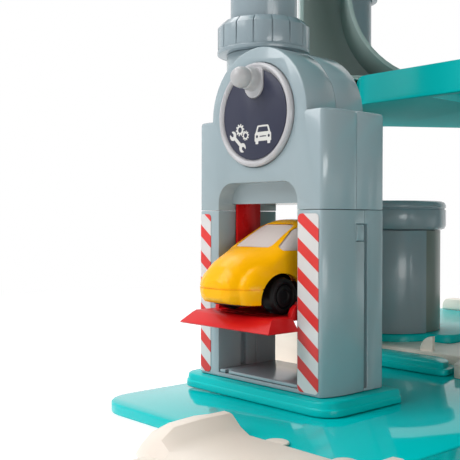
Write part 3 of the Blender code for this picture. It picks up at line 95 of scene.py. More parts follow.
def new_group(name, inputs, outputs):
    """An empty shader group with its named sockets, and its two end nodes."""
    tree = bpy.data.node_groups.new(name, "ShaderNodeTree")
    for label, kind, value in inputs:
        socket = tree.interface.new_socket(label, in_out="INPUT", socket_type=kind)
        if value is not None:
            socket.default_value = value
    for label, kind in outputs:
        tree.interface.new_socket(label, in_out="OUTPUT", socket_type=kind)
    return tree, tree.nodes.new("NodeGroupInput"), tree.nodes.new("NodeGroupOutput")


def math_node(tree, operation, first, second):
    node = tree.nodes.new("ShaderNodeMath")
    node.operation = operation
    for socket, value in zip(node.inputs, (first, second)):
        if isinstance(value, (int, float)):
            socket.default_value = value
        else:
            tree.links.new(value, socket)
    return node.outputs[0]


def noise(tree, coordinates, scale, detail=3.0):
    node = tree.nodes.new("ShaderNodeTexNoise")
    tree.links.new(coordinates, node.inputs["Vector"])
    node.inputs["Detail"].default_value = detail
    if isinstance(scale, (int, float)):
        node.inputs["Scale"].default_value = scale
    else:
        tree.links.new(scale, node.inputs["Scale"])
    return node.outputs["Fac"]


def zero_to_one(tree, value):
    return math_node(tree, "MINIMUM", math_node(tree, "MAXIMUM", value, 0.0), 1.0)


def build_moulding_group():
    """Injection-moulded plastic: slow colour drift, fine grain, handling haze and rubbed edges."""
    tree, start, end = new_group(
        "moulded_plastic",
        [
            ("Colour", "NodeSocketColor", (0.5, 0.5, 0.5, 1.0)),
            ("Roughness", "NodeSocketFloat", 0.3),
            ("Grain Scale", "NodeSocketFloat", GRAIN_SCALE),
            ("Grain Depth", "NodeSocketFloat", 0.1),
            ("Drift", "NodeSocketFloat", 0.05),
            ("Haze", "NodeSocketFloat", 0.06),
            ("Edge Wear", "NodeSocketFloat", 0.15),
        ],
        [
            ("Colour", "NodeSocketColor"),
            ("Roughness", "NodeSocketFloat"),
            ("Normal", "NodeSocketVector"),
        ],
    )
    place = tree.nodes.new("ShaderNodeTexCoord").outputs["Object"]
    slow = noise(tree, place, DRIFT_SCALE)
    smudge = noise(tree, place, HAZE_SCALE, detail=5.0)
    grain = noise(tree, place, start.outputs["Grain Scale"], detail=2.0)
    edge = tree.nodes.new("ShaderNodeNewGeometry").outputs["Pointiness"]
    edge = math_node(tree, "SUBTRACT", edge, EDGE_FROM)
    edge = zero_to_one(tree, math_node(tree, "MULTIPLY", edge, EDGE_GAIN))
    edge = math_node(tree, "MULTIPLY", edge, start.outputs["Edge Wear"])
    drift = math_node(tree, "SUBTRACT", slow, 0.5)
    drift = math_node(tree, "MULTIPLY", drift, start.outputs["Drift"])
    value = math_node(tree, "ADD", math_node(tree, "ADD", drift, edge), 1.0)
    tint = tree.nodes.new("ShaderNodeHueSaturation")
    tree.links.new(start.outputs["Colour"], tint.inputs["Color"])
    tree.links.new(value, tint.inputs["Value"])
    haze = math_node(tree, "SUBTRACT", smudge, 0.5)
    haze = math_node(tree, "MULTIPLY", haze, start.outputs["Haze"])
    rough = math_node(tree, "ADD", start.outputs["Roughness"], haze)
    rough = math_node(tree, "ADD", rough, math_node(tree, "MULTIPLY", edge, EDGE_ROUGHER))
    bump = tree.nodes.new("ShaderNodeBump")
    bump.inputs["Distance"].default_value = GRAIN_HEIGHT
    tree.links.new(start.outputs["Grain Depth"], bump.inputs["Strength"])
    tree.links.new(grain, bump.inputs["Height"])
    tree.links.new(tint.outputs["Color"], end.inputs["Colour"])
    tree.links.new(rough, end.inputs["Roughness"])
    tree.links.new(bump.outputs["Normal"], end.inputs["Normal"])
    return tree


MOULDING = build_moulding_group()


def plastic(
    name,
    colour,
    roughness,
    coat=0.0,
    specular=0.4,
    depth=0.1,
    drift=0.05,
    haze=0.06,
    wear=0.1,
):
    """A moulded plastic; depth is that of its grain."""
    made = bpy.data.materials.new(name)
    made.use_nodes = True
    tree = made.node_tree
    shader = tree.nodes["Principled BSDF"]
    shader.inputs["Coat Weight"].default_value = coat
    shader.inputs["Coat Roughness"].default_value = COAT_ROUGHNESS
    shader.inputs["IOR"].default_value = PLASTIC_IOR
    shader.inputs["Specular IOR Level"].default_value = specular
    effect = tree.nodes.new("ShaderNodeGroup")
    effect.node_tree = MOULDING
    for label, value in (
        ("Colour", (*colour, 1.0)),
        ("Roughness", roughness),
        ("Grain Scale", GRAIN_SCALE),
        ("Grain Depth", depth),
        ("Drift", drift),
        ("Haze", haze),
        ("Edge Wear", wear),
    ):
        effect.inputs[label].default_value = value
    tree.links.new(effect.outputs["Colour"], shader.inputs["Base Color"])
    tree.links.new(effect.outputs["Roughness"], shader.inputs["Roughness"])
    tree.links.new(effect.outputs["Normal"], shader.inputs["Normal"])
    return made


FINISH = {
    "teal": plastic("teal_plastic", (0.0, 0.52, 0.52), 0.2, specular=0.14, depth=0.03),
    "cream": plastic("cream_plastic", (0.80, 0.72, 0.64), 0.42),
    "grey": plastic("grey_plastic", (0.295, 0.375, 0.41), 0.2, coat=0.35, depth=0.04),
    "tube": plastic("tube_plastic", (0.25, 0.315, 0.35), 0.22, coat=0.2, depth=0.04),
    "shaft": plastic("shaft_plastic", (0.33, 0.42, 0.40), 0.2, coat=0.2, depth=0.04),
    "red": plastic("red_plastic", (0.60, 0.006, 0.008), 0.28, specular=0.2, depth=0.04),
    "yellow": plastic(
        "yellow_plastic", (1.0, 0.47, 0.0), 0.22, specular=0.18, depth=0.03, drift=0.03
    ),
    "pale": plastic("pale_plastic", (0.66, 0.58, 0.55), 0.22),
    "black": plastic("black_plastic", (0.004, 0.004, 0.005), 0.45, specular=0.25),
    "rim": plastic("rim_plastic", (0.46, 0.46, 0.48), 0.26),
    "navy": plastic("navy_label", (0.028, 0.032, 0.06), 0.4, specular=0.3),
    "steel": plastic("axle_steel", (0.5, 0.5, 0.5), 0.3),
    "gear": plastic("gear_plastic", (0.6, 0.6, 0.6), 0.4),
}
BASE_GLOSS = plastic(
    "base_gloss", (0.0, 0.54, 0.55), 0.05, specular=0.3, depth=0.0, drift=0.03, haze=0.02, wear=0.0
)
KNOB_PLASTIC = plastic("knob_plastic", (0.42, 0.42, 0.43), 0.28)
# Painted shade: the kiosk's sunk panel is coloured dark for the shadow inside it
KIOSK_PAINTED_SHADE = plastic("kiosk_panel", (0.17, 0.205, 0.185), 0.3)
# Painted shade: the decks' downward faces take a darker teal than the teal plastic, for the shade
# under them; also matt and weakly glossy
UNDERSIDE_PAINTED_SHADE = plastic("deck_underside_painted_shade", (0.0, 0.36, 0.36), 0.6, specular=0.05, haze=0.02)
PICTOGRAM = plastic("pictogram_print", (0.62, 0.62, 0.60), 0.5, wear=0.0)


# Slanting stripes: fall to the right, height from one to the next, red share of it, and colours
STRIPE_SLOPE = 0.75
STRIPE_PERIOD = 13.4
STRIPE_SHARE = 0.47
STRIPE_CRISP = 60.0
STRIPE_RED = (0.70, 0.035, 0.032)
STRIPE_WHITE = (0.66, 0.65, 0.655)


def build_stripe_group():
    """Mask of stripes that fall to the right, from the place on the sticker."""
    tree, start, end = new_group(
        "slanting_stripes",
        [
            ("Top", "NodeSocketFloat", 0.0),
            ("Slope", "NodeSocketFloat", STRIPE_SLOPE),
            ("Period", "NodeSocketFloat", STRIPE_PERIOD * MM),
            ("Share", "NodeSocketFloat", STRIPE_SHARE),
        ],
        [("Mask", "NodeSocketFloat")],
    )
    place = tree.nodes.new("ShaderNodeTexCoord").outputs["Object"]
    axes = tree.nodes.new("ShaderNodeSeparateXYZ")
    tree.links.new(place, axes.inputs[0])
    slant = math_node(tree, "MULTIPLY", axes.outputs["X"], start.outputs["Slope"])
    drop = math_node(tree, "SUBTRACT", start.outputs["Top"], axes.outputs["Z"])
    drop = math_node(tree, "SUBTRACT", drop, slant)
    turns = math_node(tree, "DIVIDE", drop, start.outputs["Period"])
    share = math_node(tree, "FRACT", turns, 0.0)
    late = math_node(tree, "SUBTRACT", start.outputs["Share"], share)
    soft = zero_to_one(tree, math_node(tree, "MULTIPLY", late, STRIPE_CRISP))
    early = math_node(tree, "MULTIPLY", share, STRIPE_CRISP)
    early = math_node(tree, "MINIMUM", early, 1.0)
    tree.links.new(math_node(tree, "MULTIPLY", soft, early), end.inputs["Mask"])
    return tree


STRIPES = build_stripe_group()


def sticker(name, red_top_at):
    """Striped film whose red stripe has its upper edge through the point (x, z)."""
    made = plastic(name, STRIPE_WHITE, 0.42, wear=0.0, drift=0.03)
    tree = made.node_tree
    mask = tree.nodes.new("ShaderNodeGroup")
    mask.node_tree = STRIPES
    x, z = red_top_at
    point = world_point(x, 0.0, z)
    mask.inputs["Top"].default_value = point.z + STRIPE_SLOPE * point.x
    blend = tree.nodes.new("ShaderNodeMix")
    blend.data_type = "RGBA"
    blend.inputs["A"].default_value = (*STRIPE_WHITE, 1.0)
    blend.inputs["B"].default_value = (*STRIPE_RED, 1.0)
    tree.links.new(mask.outputs["Mask"], blend.inputs["Factor"])
    groups = [node for node in tree.nodes if node.type == "GROUP"]
    effect = next(node for node in groups if node.node_tree == MOULDING)
    tree.links.new(blend.outputs["Result"], effect.inputs["Colour"])
    return made


STICKER_RIGHT = sticker("stripe_film_right", (34.7, 66.4))
STICKER_LEFT = sticker("stripe_film_left", (-38.0, 74.8))
MATERIAL_OF = {
    "base_left": BASE_GLOSS,
    "base_right": BASE_GLOSS,
}


# Finished copies of the solids, with rounded edges
EDGE_ROUND = 0.5
EDGE_SEGMENTS = 2
SHARP_FROM = math.radians(32.0)
FLAT_WITHIN = math.radians(0.6)
SAME_POINT = 0.002


def applied(obj):
    """The object's modifiers made part of its mesh."""
    graph = bpy.context.evaluated_depsgraph_get()
    mesh = bpy.data.meshes.new_from_object(obj.evaluated_get(graph))
    obj.modifiers.clear()
    obj.data = mesh
    return obj


def smoothed(mesh, sharp_from):
    for face in mesh.polygons:
        face.use_smooth = True
    mesh.set_sharp_from_angle(angle=sharp_from)


def finished_copy(node, slot):
    """A copy of the node's solid with its flat faces joined and its edges rounded."""
    solid = frame["nodes"][node]
    mesh = solid.data.copy()
    mesh.materials.clear()
    shown = bpy.data.objects.new(node + "_skin", mesh)
    PICTURE.objects.link(shown)
    bm = bmesh.new()
    bm.from_mesh(mesh)
    bmesh.ops.remove_doubles(bm, verts=bm.verts, dist=SAME_POINT * MM)
    bmesh.ops.dissolve_limit(
        bm,
        angle_limit=FLAT_WITHIN,
        verts=bm.verts,
        edges=bm.edges,
        use_dissolve_boundaries=False,
    )
    bm.to_mesh(mesh)
    bm.free()
    mesh.materials.append(MATERIAL_OF.get(node, FINISH[slot]))
    rounding = shown.modifiers.new("rounding", "BEVEL")
    rounding.width = EDGE_ROUND * MM
    rounding.segments = EDGE_SEGMENTS
    rounding.limit_method = "ANGLE"
    rounding.angle_limit = SHARP_FROM
    rounding.use_clamp_overlap = True
    rounding.harden_normals = False
    applied(shown)
    smoothed(shown.data, SHARP_FROM)
    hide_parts(node)
    body = solid["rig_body"]
    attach(shown, body)


COLLARS = {
    "collar_a": (-27.8, 31.9),
    "collar_f": (176.0, 134.0),
    "collar_rear_right": (236.0, 296.0),
    "collar_rear_left": (20.0, 296.0),
    "collar_f_upper": (176.0, 134.0),
    "collar_g": (20.0, 236.0),
}
REMADE = ("stripe_label_left", "stripe_label_right", "car_body", "car_windows")
for part in frame["record"]["subparts"]:
    if part["node"] not in COLLARS and part["node"] not in REMADE:
        finished_copy(part["node"], part["material_slot"])


def add_piece(name, mesh, material, node, sharp_from=SHARP_FROM):
    """A new finished piece that stands for a CAD node and moves with it."""
    made = bpy.data.objects.new(name, mesh)
    PICTURE.objects.link(made)
    mesh.materials.clear()
    mesh.materials.append(material)
    smoothed(mesh, sharp_from)
    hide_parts(node)
    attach(made, frame["nodes"][node]["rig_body"])


def mesh_from(bm, name):
    bmesh.ops.recalc_face_normals(bm, faces=bm.faces)
    mesh = bpy.data.meshes.new(name)
    bm.to_mesh(mesh)
    bm.free()
    return mesh


def paint(node, material, chosen):
    """Another material on the faces of a finished copy that the test picks."""
    mesh = bpy.data.objects[node + "_skin"].data
    mesh.materials.append(material)
    for face in mesh.polygons:
        if chosen(face):
            face.material_index = len(mesh.materials) - 1


# Knob of the crank wheel in its own plastic, the kiosk's sunk panel in a dark colour that paints the
# shade in it, and matt undersides of the decks in a darker teal that paints the shade under them
KNOB_FRONT_Y = -2.75
KIOSK_AXIS = world_point(-65.0, 188.0, 0.0).to_2d()
PANEL_R = (35.6, 37.8)
# Upward part of a face's normal: most that a wall has, and least downwards for an underside
WALL_TILT = 0.5
FACES_DOWN = -0.7


def on_knob(face):
    return face.center.y < world_point(0.0, KNOB_FRONT_Y, 0.0).y


def on_kiosk_panel(face):
    reach = (face.center.to_2d() - KIOSK_AXIS).length
    return PANEL_R[0] * MM < reach < PANEL_R[1] * MM and abs(face.normal.z) < WALL_TILT


def on_underside(face):
    return face.normal.z < FACES_DOWN


paint("crank_wheel", KNOB_PLASTIC, on_knob)
# Painted shade on the kiosk's sunk panel
paint("kiosk_body", KIOSK_PAINTED_SHADE, on_kiosk_panel)
# Painted shade on the decks' downward faces
for deck in ("deck_1", "deck_2"):
    paint(deck, UNDERSIDE_PAINTED_SHADE, on_underside)


# Striped stickers, one flat, one wrapped round the tower's corner, both sides a little off its face
STICKER_INSIDE = 0.04
STICKER_OUTSIDE = 0.3
STICKER_LOW = 1.2
STICKER_HIGH = 82.2
STICKER_ROUND = 2.2
STICKER_STEPS = 36
TOWER_HALF = 45.0
# The corner is a quarter of an ellipse, deeper than it is wide; the pace scales its turn per length
CORNER = (4.6, 17.5)
CORNER_PACE = 1.35


def front_path(distance):
    """Point and outward normal on the tower's front at a distance left of X = 0."""
    flat = TOWER_HALF - CORNER[0]
    if distance <= flat:
        return (-distance, 0.0), (0.0, -1.0)
    turn = (distance - flat) / math.hypot(*CORNER)
    angle = math.radians(270.0) - turn * CORNER_PACE
    x = -flat + CORNER[0] * math.cos(angle)
    y = CORNER[1] + CORNER[1] * math.sin(angle)
    nx, ny = math.cos(angle) / CORNER[0], math.sin(angle) / CORNER[1]
    length = math.hypot(nx, ny)
    return (x, y), (nx / length, ny / length)


def build_sticker(name, near, far, mirror, material):
    """Film from a distance near to far along the front, with rounded corners."""
    bm = bmesh.new()
    rows = []
    for step in range(STICKER_STEPS + 1):
        share = (1 - math.cos(math.pi * step / STICKER_STEPS)) / 2
        along = near + (far - near) * share
        edge = min(along - near, far - along, STICKER_ROUND)
        rise = math.sqrt(max(STICKER_ROUND ** 2 - (STICKER_ROUND - edge) ** 2, 0.0))
        less = STICKER_ROUND - rise
        (x, y), (nx, ny) = front_path(along)
        column = []
        for out in (STICKER_INSIDE, STICKER_OUTSIDE):
            for z in (STICKER_LOW + less, STICKER_HIGH - less):
                place = world_point((x + nx * out) * mirror, y + ny * out, z)
                column.append(bm.verts.new(place))
        rows.append(column)
    for first, second in zip(rows, rows[1:]):
        for a, b in ((0, 1), (1, 3), (3, 2), (2, 0)):
            bm.faces.new((first[a], first[b], second[b], second[a]))
    bm.faces.new((rows[0][0], rows[0][1], rows[0][3], rows[0][2]))
    bm.faces.new((rows[-1][2], rows[-1][3], rows[-1][1], rows[-1][0]))
    add_piece(name + "_film", mesh_from(bm, name), material, name)


build_sticker("stripe_label_right", 27.9, 40.5, -1, STICKER_RIGHT)
build_sticker("stripe_label_left", 33.2, 46.0, 1, STICKER_LEFT)


# Generic pictograms printed on the label of the crank wheel
PRINT_Y = -1.52
PRINT_T = 0.05
TOOTH_FOOT = 0.74
JAW_LIP = 0.1
JAW_DEPTH = 0.22


def ring_points(x, z, radius, count=24):
    angles = [2 * math.pi * step / count for step in range(count)]
    return [(x + radius * math.cos(angle), z + radius * math.sin(angle)) for angle in angles]


def gear_points(x, z, radius, teeth):
    points = []
    for step in range(teeth * 4):
        reach = radius if step % 4 in (0, 1) else radius * TOOTH_FOOT
        angle = 2 * math.pi * (step + 0.5 * (step % 2)) / (teeth * 4)
        points.append((x + reach * math.cos(angle), z + reach * math.sin(angle)))
    return points


def wrench_points(x, z, half_length, head, neck, jaw, tilt):
    """A spanner with an open jaw at each end, tilted by degrees."""
    side = []
    start = math.pi - math.asin(neck / head)
    stop = math.asin(jaw / head)
    for step in range(11):
        angle = start + (stop - start) * step / 10
        side.append((half_length + head * math.cos(angle), head * math.sin(angle)))
    side += [(half_length + head * JAW_LIP, jaw), (half_length - head * JAW_DEPTH, 0.0)]
    side += [(px, -pz) for px, pz in reversed(side[:-1])]
    whole = side + [(-px, -pz) for px, pz in side]
    c, s = math.cos(math.radians(tilt)), math.sin(math.radians(tilt))
    return [(x + px * c - pz * s, z + px * s + pz * c) for px, pz in whole]


def mirrored(points):
    return points + [(-x, z) for x, z in reversed(points)]


def car_points(x, z):
    """Front view of a car: outline, windscreen, lamps and grille."""
    roof = [(0.0, 4.5), (-3.3, 4.4), (-3.9, 3.9), (-4.9, 1.1), (-5.5, 0.5)]
    wheel = [(-5.6, -3.0), (-5.0, -3.2), (-4.9, -4.4), (-3.2, -4.4), (-3.0, -3.0)]
    screen = mirrored([(0.0, 3.7), (-3.0, 3.6), (-3.8, 1.3)])
    grille = mirrored([(0.0, -0.5), (-2.3, -0.6), (-2.2, -1.1)])
    lamps = [ring_points(side * 4.0, -0.8, 0.75, 16) for side in (-1, 1)]
    found = [mirrored(roof + wheel), screen, grille, *lamps]
    return [[(x + px, z + pz) for px, pz in points] for points in found]


def build_print(name, outlines):
    """Outlines in the label's plane, the inner ones as holes, as a thin printed layer."""
    curve = bpy.data.curves.new(name, "CURVE")
    curve.dimensions = "2D"
    curve.fill_mode = "BOTH"
    curve.extrude = PRINT_T * MM / 2
    for outline in outlines:
        spline = curve.splines.new("POLY")
        spline.points.add(len(outline) - 1)
        for point, (x, z) in zip(spline.points, outline):
            point.co = (x * MM, z * MM, 0.0, 1.0)
        spline.use_cyclic_u = True
    shape = bpy.data.objects.new(name + "_outline", curve)
    PICTURE.objects.link(shape)
    graph = bpy.context.evaluated_depsgraph_get()
    mesh = bpy.data.meshes.new_from_object(shape.evaluated_get(graph))
    bpy.data.objects.remove(shape)
    upright = Matrix.Rotation(math.radians(90.0), 4, "X")
    mesh.transform(Matrix.Translation(world_point(0.0, PRINT_Y, 0.0)) @ upright)
    add_piece(name, mesh, PICTOGRAM, "wheel_label")


for name, (x, z), radius, hole in (
    ("pictogram_gear_large", (-9.8, 123.1), 3.0, 1.35),
    ("pictogram_gear_small", (-5.8, 120.1), 2.4, 1.15),
):
    build_print(name, [gear_points(x, z, radius, 10), ring_points(x, z, hole)])
spanner = wrench_points(-11.4, 117.4, half_length=4.6, head=2.3, neck=0.85, jaw=0.85, tilt=-42.0)
build_print("pictogram_wrench", [spanner])
build_print("pictogram_car", car_points(6.2, 119.8))


# Toy car: one soft moulded shell with fenders, wheel arches, a parting line and sunk panes
CAR_NOSE = -28.0
CAR_LENGTH = 78.0
CAR_SHARP_FROM = math.radians(40.0)
AXLE_Z = 44.0
AXLES = (-1.0, 31.0)
ARCH_HIGH = 10.6
ARCH_LONG = 13.6
ARCH_FORWARD = 0.6
ARCH_MIDDLE_X = 23.6
ARCH_DEPTH = 24.0
SHELL_VOXEL = 0.55
SHELL_SOFT_SHARE = 0.5
SHELL_SOFT_STEPS = 8
SHELL_LOW = 40.4
SHELL_WALL = 2.2
ROOF_WALL = 2.4
BELT_WALL = 1.0
HOLLOW_LOW = 38.0
HOLLOW_FOOT = 1.0
SAME_SHELL_POINT = 0.0005
PARTING_Z = 47.7
PARTING_HALF = 0.25
PARTING_END_Y = -13.3
PARTING_CORE = (0.972, 0.986)
PANE_SUNK = 0.45
PANE_GAP = 0.12
# Clear of the car to each side, before and behind it, and under it
CAR_SIDE = 30.0
CAR_FRONT_Y = -40.0
CAR_REAR_Y = 60.0
CAR_UNDER_Z = 20.0
# Distance from the nose, half width, heights of floor, belt and top, and radius of the lower edge
BODY_STATIONS = (
    (0.4, 6.4, 43.2, 46.6, 50.8, 2.4),
    (2.0, 10.4, 41.8, 46.8, 54.2, 3.6),
    (4.5, 12.8, 40.7, 46.0, 57.8, 4.6),
    (8.0, 15.0, 40.2, 46.0, 60.9, 5.4),
    (11.0, 16.0, 40.0, 47.0, 62.6, 5.4),
    (14.0, 16.7, 40.0, 49.0, 64.0, 4.8),
    (18.0, 17.6, 40.0, 53.0, 65.5, 3.8),
    (24.0, 19.0, 40.0, 59.0, 67.2, 2.6),
    (28.0, 19.8, 40.0, 61.6, 69.4, 2.5),
    (35.0, 20.0, 40.0, 62.6, 73.9, 2.5),
    (42.0, 20.0, 40.0, 63.0, 78.0, 2.5),
    (48.0, 20.0, 40.0, 63.0, 79.6, 2.5),
    (54.0, 20.0, 40.0, 62.8, 79.8, 2.5),
    (60.0, 19.9, 40.0, 61.8, 78.1, 2.5),
    (65.0, 19.5, 40.0, 59.5, 74.7, 2.5),
    (69.5, 18.8, 40.2, 56.5, 69.5, 3.0),
    (73.0, 17.4, 40.6, 53.4, 63.6, 4.0),
    (75.8, 14.6, 41.8, 50.5, 57.8, 4.0),
    (77.4, 11.0, 43.6, 49.0, 53.6, 2.5),
)


# Fenders: centre of each swell, X to either side, and its radii
FENDERS = (
    ((12.7, -5.8, 47.0), (8.8, 17.2, 12.4)),
    ((13.2, AXLES[1], 46.4), (8.4, 15.0, 12.4)),
)
# Squareness of the upper body's curve across and in height; 2.0 is an ellipse
ACROSS_POWER = 2.35
HEIGHT_POWER = 2.1
FLOOR_FLAT = 0.4


def car_section(station):
    """A closed section of the car, from the middle of its floor up one side and down the other."""
    along, half, low, belt, top, foot = station
    side = [(0.0, low), (half * FLOOR_FLAT, low)]
    for angle in (90.0, 65.0, 40.0, 18.0):
        turn = math.radians(angle)
        side.append((half - foot * (1.0 - math.cos(turn)), low + foot * (1.0 - math.sin(turn))))
    side += [(half, low + foot), (half, (belt + low + foot) / 2)]
    for step in range(10):
        angle = math.radians(9.0 * step)
        across = half * math.cos(angle) ** (2 / ACROSS_POWER)
        side.append((across, belt + (top - belt) * math.sin(angle) ** (2 / HEIGHT_POWER)))
    side.append((0.0, top))
    whole = side + [(-x, z) for x, z in reversed(side[1:-1])]
    return [world_point(x, CAR_NOSE + along, z) for x, z in whole]


def add_loft(bm, sections):
    """A closed skin over rings of points that all have the same count."""
    rows = [[bm.verts.new(point) for point in section] for section in sections]
    count = len(rows[0])
    for low, high in zip(rows, rows[1:]):
        for index in range(count):
            after = (index + 1) % count
            bm.faces.new((low[index], low[after], high[after], high[index]))
    bm.faces.new(list(reversed(rows[0])))
    bm.faces.new(rows[-1])


def add_swell(bm, centre, radii):
    """An ellipsoid swell, one for each fender."""
    size = Matrix.Diagonal((*[radius * MM for radius in radii], 1.0))
    place = Matrix.Translation(world_point(*centre)) @ size
    bmesh.ops.create_uvsphere(bm, u_segments=48, v_segments=32, radius=1.0, matrix=place)


def scratch(name, bm):
    """A helper object, removed once it has been used."""
    made = bpy.data.objects.new(name, mesh_from(bm, name))
    PICTURE.objects.link(made)
    return made


def outward(mesh):
    """Seams closed and every face turned to the outside."""
    bm = bmesh.new()
    bm.from_mesh(mesh)
    bmesh.ops.remove_doubles(bm, verts=bm.verts, dist=SAME_SHELL_POINT * MM)
    bmesh.ops.dissolve_degenerate(bm, edges=bm.edges, dist=SAME_SHELL_POINT * MM)
    bmesh.ops.recalc_face_normals(bm, faces=bm.faces)
    if bm.calc_volume(signed=True) < 0.0:
        bmesh.ops.reverse_faces(bm, faces=bm.faces)
    bm.to_mesh(mesh)
    bm.free()


def boolean(target, operation, *tools):
    """Cuts made one tool at a time, each tool used up."""
    for tool in tools:
        change = target.modifiers.new("shape", "BOOLEAN")
        change.operation = operation
        change.solver = "EXACT"
        change.object = tool
        applied(target)
        bpy.data.objects.remove(tool)
        outward(target.data)
    return target


def soft_solid():
    """Body and fenders grown together as one smooth solid."""
    bm = bmesh.new()
    add_loft(bm, [car_section(station) for station in BODY_STATIONS])
    for side in (-1, 1):
        for (x, y, z), radii in FENDERS:
            add_swell(bm, (side * x, y, z), radii)
    solid = scratch("car_solid", bm)
    grown = solid.modifiers.new("grown", "REMESH")
    grown.mode = "VOXEL"
    grown.voxel_size = SHELL_VOXEL * MM
    soft = solid.modifiers.new("soft", "SMOOTH")
    soft.factor = SHELL_SOFT_SHARE
    soft.iterations = SHELL_SOFT_STEPS
    applied(solid)
    outward(solid.data)
    return solid


def slab(name, low, high):
    """A box between two corners, as a tool for a cut."""
    bm = bmesh.new()
    a, b = world_point(*low), world_point(*high)
    place = Matrix.Translation((a + b) / 2) @ Matrix.Diagonal((*(b - a), 1.0))
    bmesh.ops.create_cube(bm, size=1.0, matrix=place)
    return scratch(name, bm)


def arch_cutter(axle, side):
    """A wheel arch: longer than it is high, open to the outside."""
    bm = bmesh.new()
    bmesh.ops.create_cone(bm, cap_ends=True, segments=64, radius1=1.0, radius2=1.0, depth=1.0)
    place = Matrix.Translation(world_point(side * ARCH_MIDDLE_X, axle - ARCH_FORWARD, AXLE_Z))
    size = Matrix.Diagonal((ARCH_DEPTH * MM, ARCH_LONG * MM, ARCH_HIGH * MM, 1.0))
    sideways = Matrix.Rotation(math.radians(90.0), 4, "Y")
    bmesh.ops.transform(bm, matrix=place @ size @ sideways, verts=bm.verts)
    return scratch("arch", bm)


def corner_round(corners, radii, count=6):
    """A polygon's corners rounded, each by its own radius."""
    found = []
    for index, (corner, radius) in enumerate(zip(corners, radii)):
        here = Vector(corner)
        before = (Vector(corners[index - 1]) - here).normalized()
        after = (Vector(corners[(index + 1) % len(corners)]) - here).normalized()
        half = before.angle(after) / 2
        middle = here + (before + after).normalized() * radius / math.sin(half)
        first = here + before * radius / math.tan(half) - middle
        last = here + after * radius / math.tan(half) - middle
        turn = first.angle_signed(last)
        for step in range(count + 1):
            angle = -turn * step / count
            found.append(middle + Matrix.Rotation(angle, 2) @ first)
    return found


def pane_cutter(name, outline, axis, start, stop, gap):
    """A window's outline, made smaller by the gap, drawn through the car along X or Y."""
    centre = sum((Vector(point) for point in outline), Vector((0.0, 0.0))) / len(outline)
    bm = bmesh.new()
    ends = []
    for along in (start, stop):
        ring = []
        for point in outline:
            across, z = point + (centre - point).normalized() * gap
            place = (across, along, z) if axis == "Y" else (along, across, z)
            ring.append(world_point(*place))
        ends.append(ring)
    add_loft(bm, ends)
    return scratch(name, bm)


WINDSCREEN = corner_round(
    [(-12.6, 66.4), (12.6, 66.4), (10.9, 77.2), (-10.9, 77.2)],
    (1.5, 1.5, 2.5, 2.5),
)
REAR_SCREEN = corner_round(
    [(-12.5, 65.0), (12.5, 65.0), (10.0, 75.0), (-10.0, 75.0)],
    (3.0, 3.0, 4.0, 4.0),
)
SIDE_WINDOW = corner_round(
    [(-3.2, 64.9), (36.0, 64.9), (29.0, 75.6), (13.5, 75.6)],
    (1.2, 3.0, 5.0, 6.0),
)


def window_cutters(gap):
    return (
        pane_cutter("windscreen", WINDSCREEN, "Y", -23.0, 16.0, gap),
        pane_cutter("rear_screen", REAR_SCREEN, "Y", 28.0, 52.0, gap),
        pane_cutter("left_window", SIDE_WINDOW, "X", -29.3, -12.1, gap),
        pane_cutter("right_window", SIDE_WINDOW, "X", 12.1, 29.3, gap),
    )


def parting_groove(mesh):
    """A fine line round the nose where the bumper meets the body."""
    core = bpy.data.objects.new("groove_core", mesh.copy())
    PICTURE.objects.link(core)
    middle = world_point(0.0, CAR_NOSE + CAR_LENGTH / 2, PARTING_Z)
    core.data.transform(Matrix.Translation(-middle))
    core.data.transform(Matrix.Diagonal((*PARTING_CORE, 1.0, 1.0)))
    core.data.transform(Matrix.Translation(middle))
    line = slab(
        "groove",
        (-CAR_SIDE, CAR_FRONT_Y, PARTING_Z - PARTING_HALF),
        (CAR_SIDE, PARTING_END_Y, PARTING_Z + PARTING_HALF),
    )
    return boolean(line, "DIFFERENCE", core)


def cavity_cutter():
    """The hollow inside the shell, where the chassis sits."""
    bm = bmesh.new()
    inner = []
    for along, half, _, belt, top, _ in BODY_STATIONS[4:-2]:
        belt -= BELT_WALL
        inner.append(
            car_section((along, half - SHELL_WALL, HOLLOW_LOW, belt, top - ROOF_WALL, HOLLOW_FOOT))
        )
    add_loft(bm, inner)
    return scratch("hollow", bm)


def build_car():
    """The shell with its cuts, and the panes a little deeper in its window openings."""
    solid = soft_solid()
    panes_mesh = solid.data.copy()
    body = boolean(
        solid,
        "DIFFERENCE",
        slab("under", (-CAR_SIDE, CAR_FRONT_Y, CAR_UNDER_Z), (CAR_SIDE, CAR_REAR_Y, SHELL_LOW)),
        *[arch_cutter(axle, side) for axle in AXLES for side in (-1, 1)],
        cavity_cutter(),
    )
    boolean(body, "DIFFERENCE", *window_cutters(0.0), parting_groove(panes_mesh))
    add_piece("car_shell", body.data, FINISH["yellow"], "car_body", CAR_SHARP_FROM)
    bpy.data.objects.remove(body)
    panes = bpy.data.objects.new("panes", panes_mesh)
    PICTURE.objects.link(panes)
    sunk = panes.modifiers.new("sunk", "DISPLACE")
    sunk.strength = -PANE_SUNK * MM
    sunk.mid_level = 0.0
    applied(panes)
    bm = bmesh.new()
    for cutter in window_cutters(PANE_GAP):
        sunk_copy = bpy.data.objects.new("sunk_copy", panes.data)
        PICTURE.objects.link(sunk_copy)
        pane = boolean(cutter, "INTERSECT", sunk_copy)
        bm.from_mesh(pane.data)
        bpy.data.objects.remove(pane)
    bpy.data.objects.remove(panes)
    mesh = mesh_from(bm, "car_panes")
    add_piece("car_panes", mesh, FINISH["pale"], "car_windows", CAR_SHARP_FROM)


build_car()


# Faceted collars: a turned core and one facet repeated round it by Geometry Nodes
COLLAR_R = 24.6
COLLAR_BORE = 18.0
SKIRT = 2.0
TURN_STEPS = 96
SAME_TURNED_POINT = 0.001
FACETS = 16
FACET_SHARE = 0.94
FACET_DEPTH = 1.6
FACET_TAPER = 0.9
FACET_EDGE = 0.22
FACET_LESS = 0.4


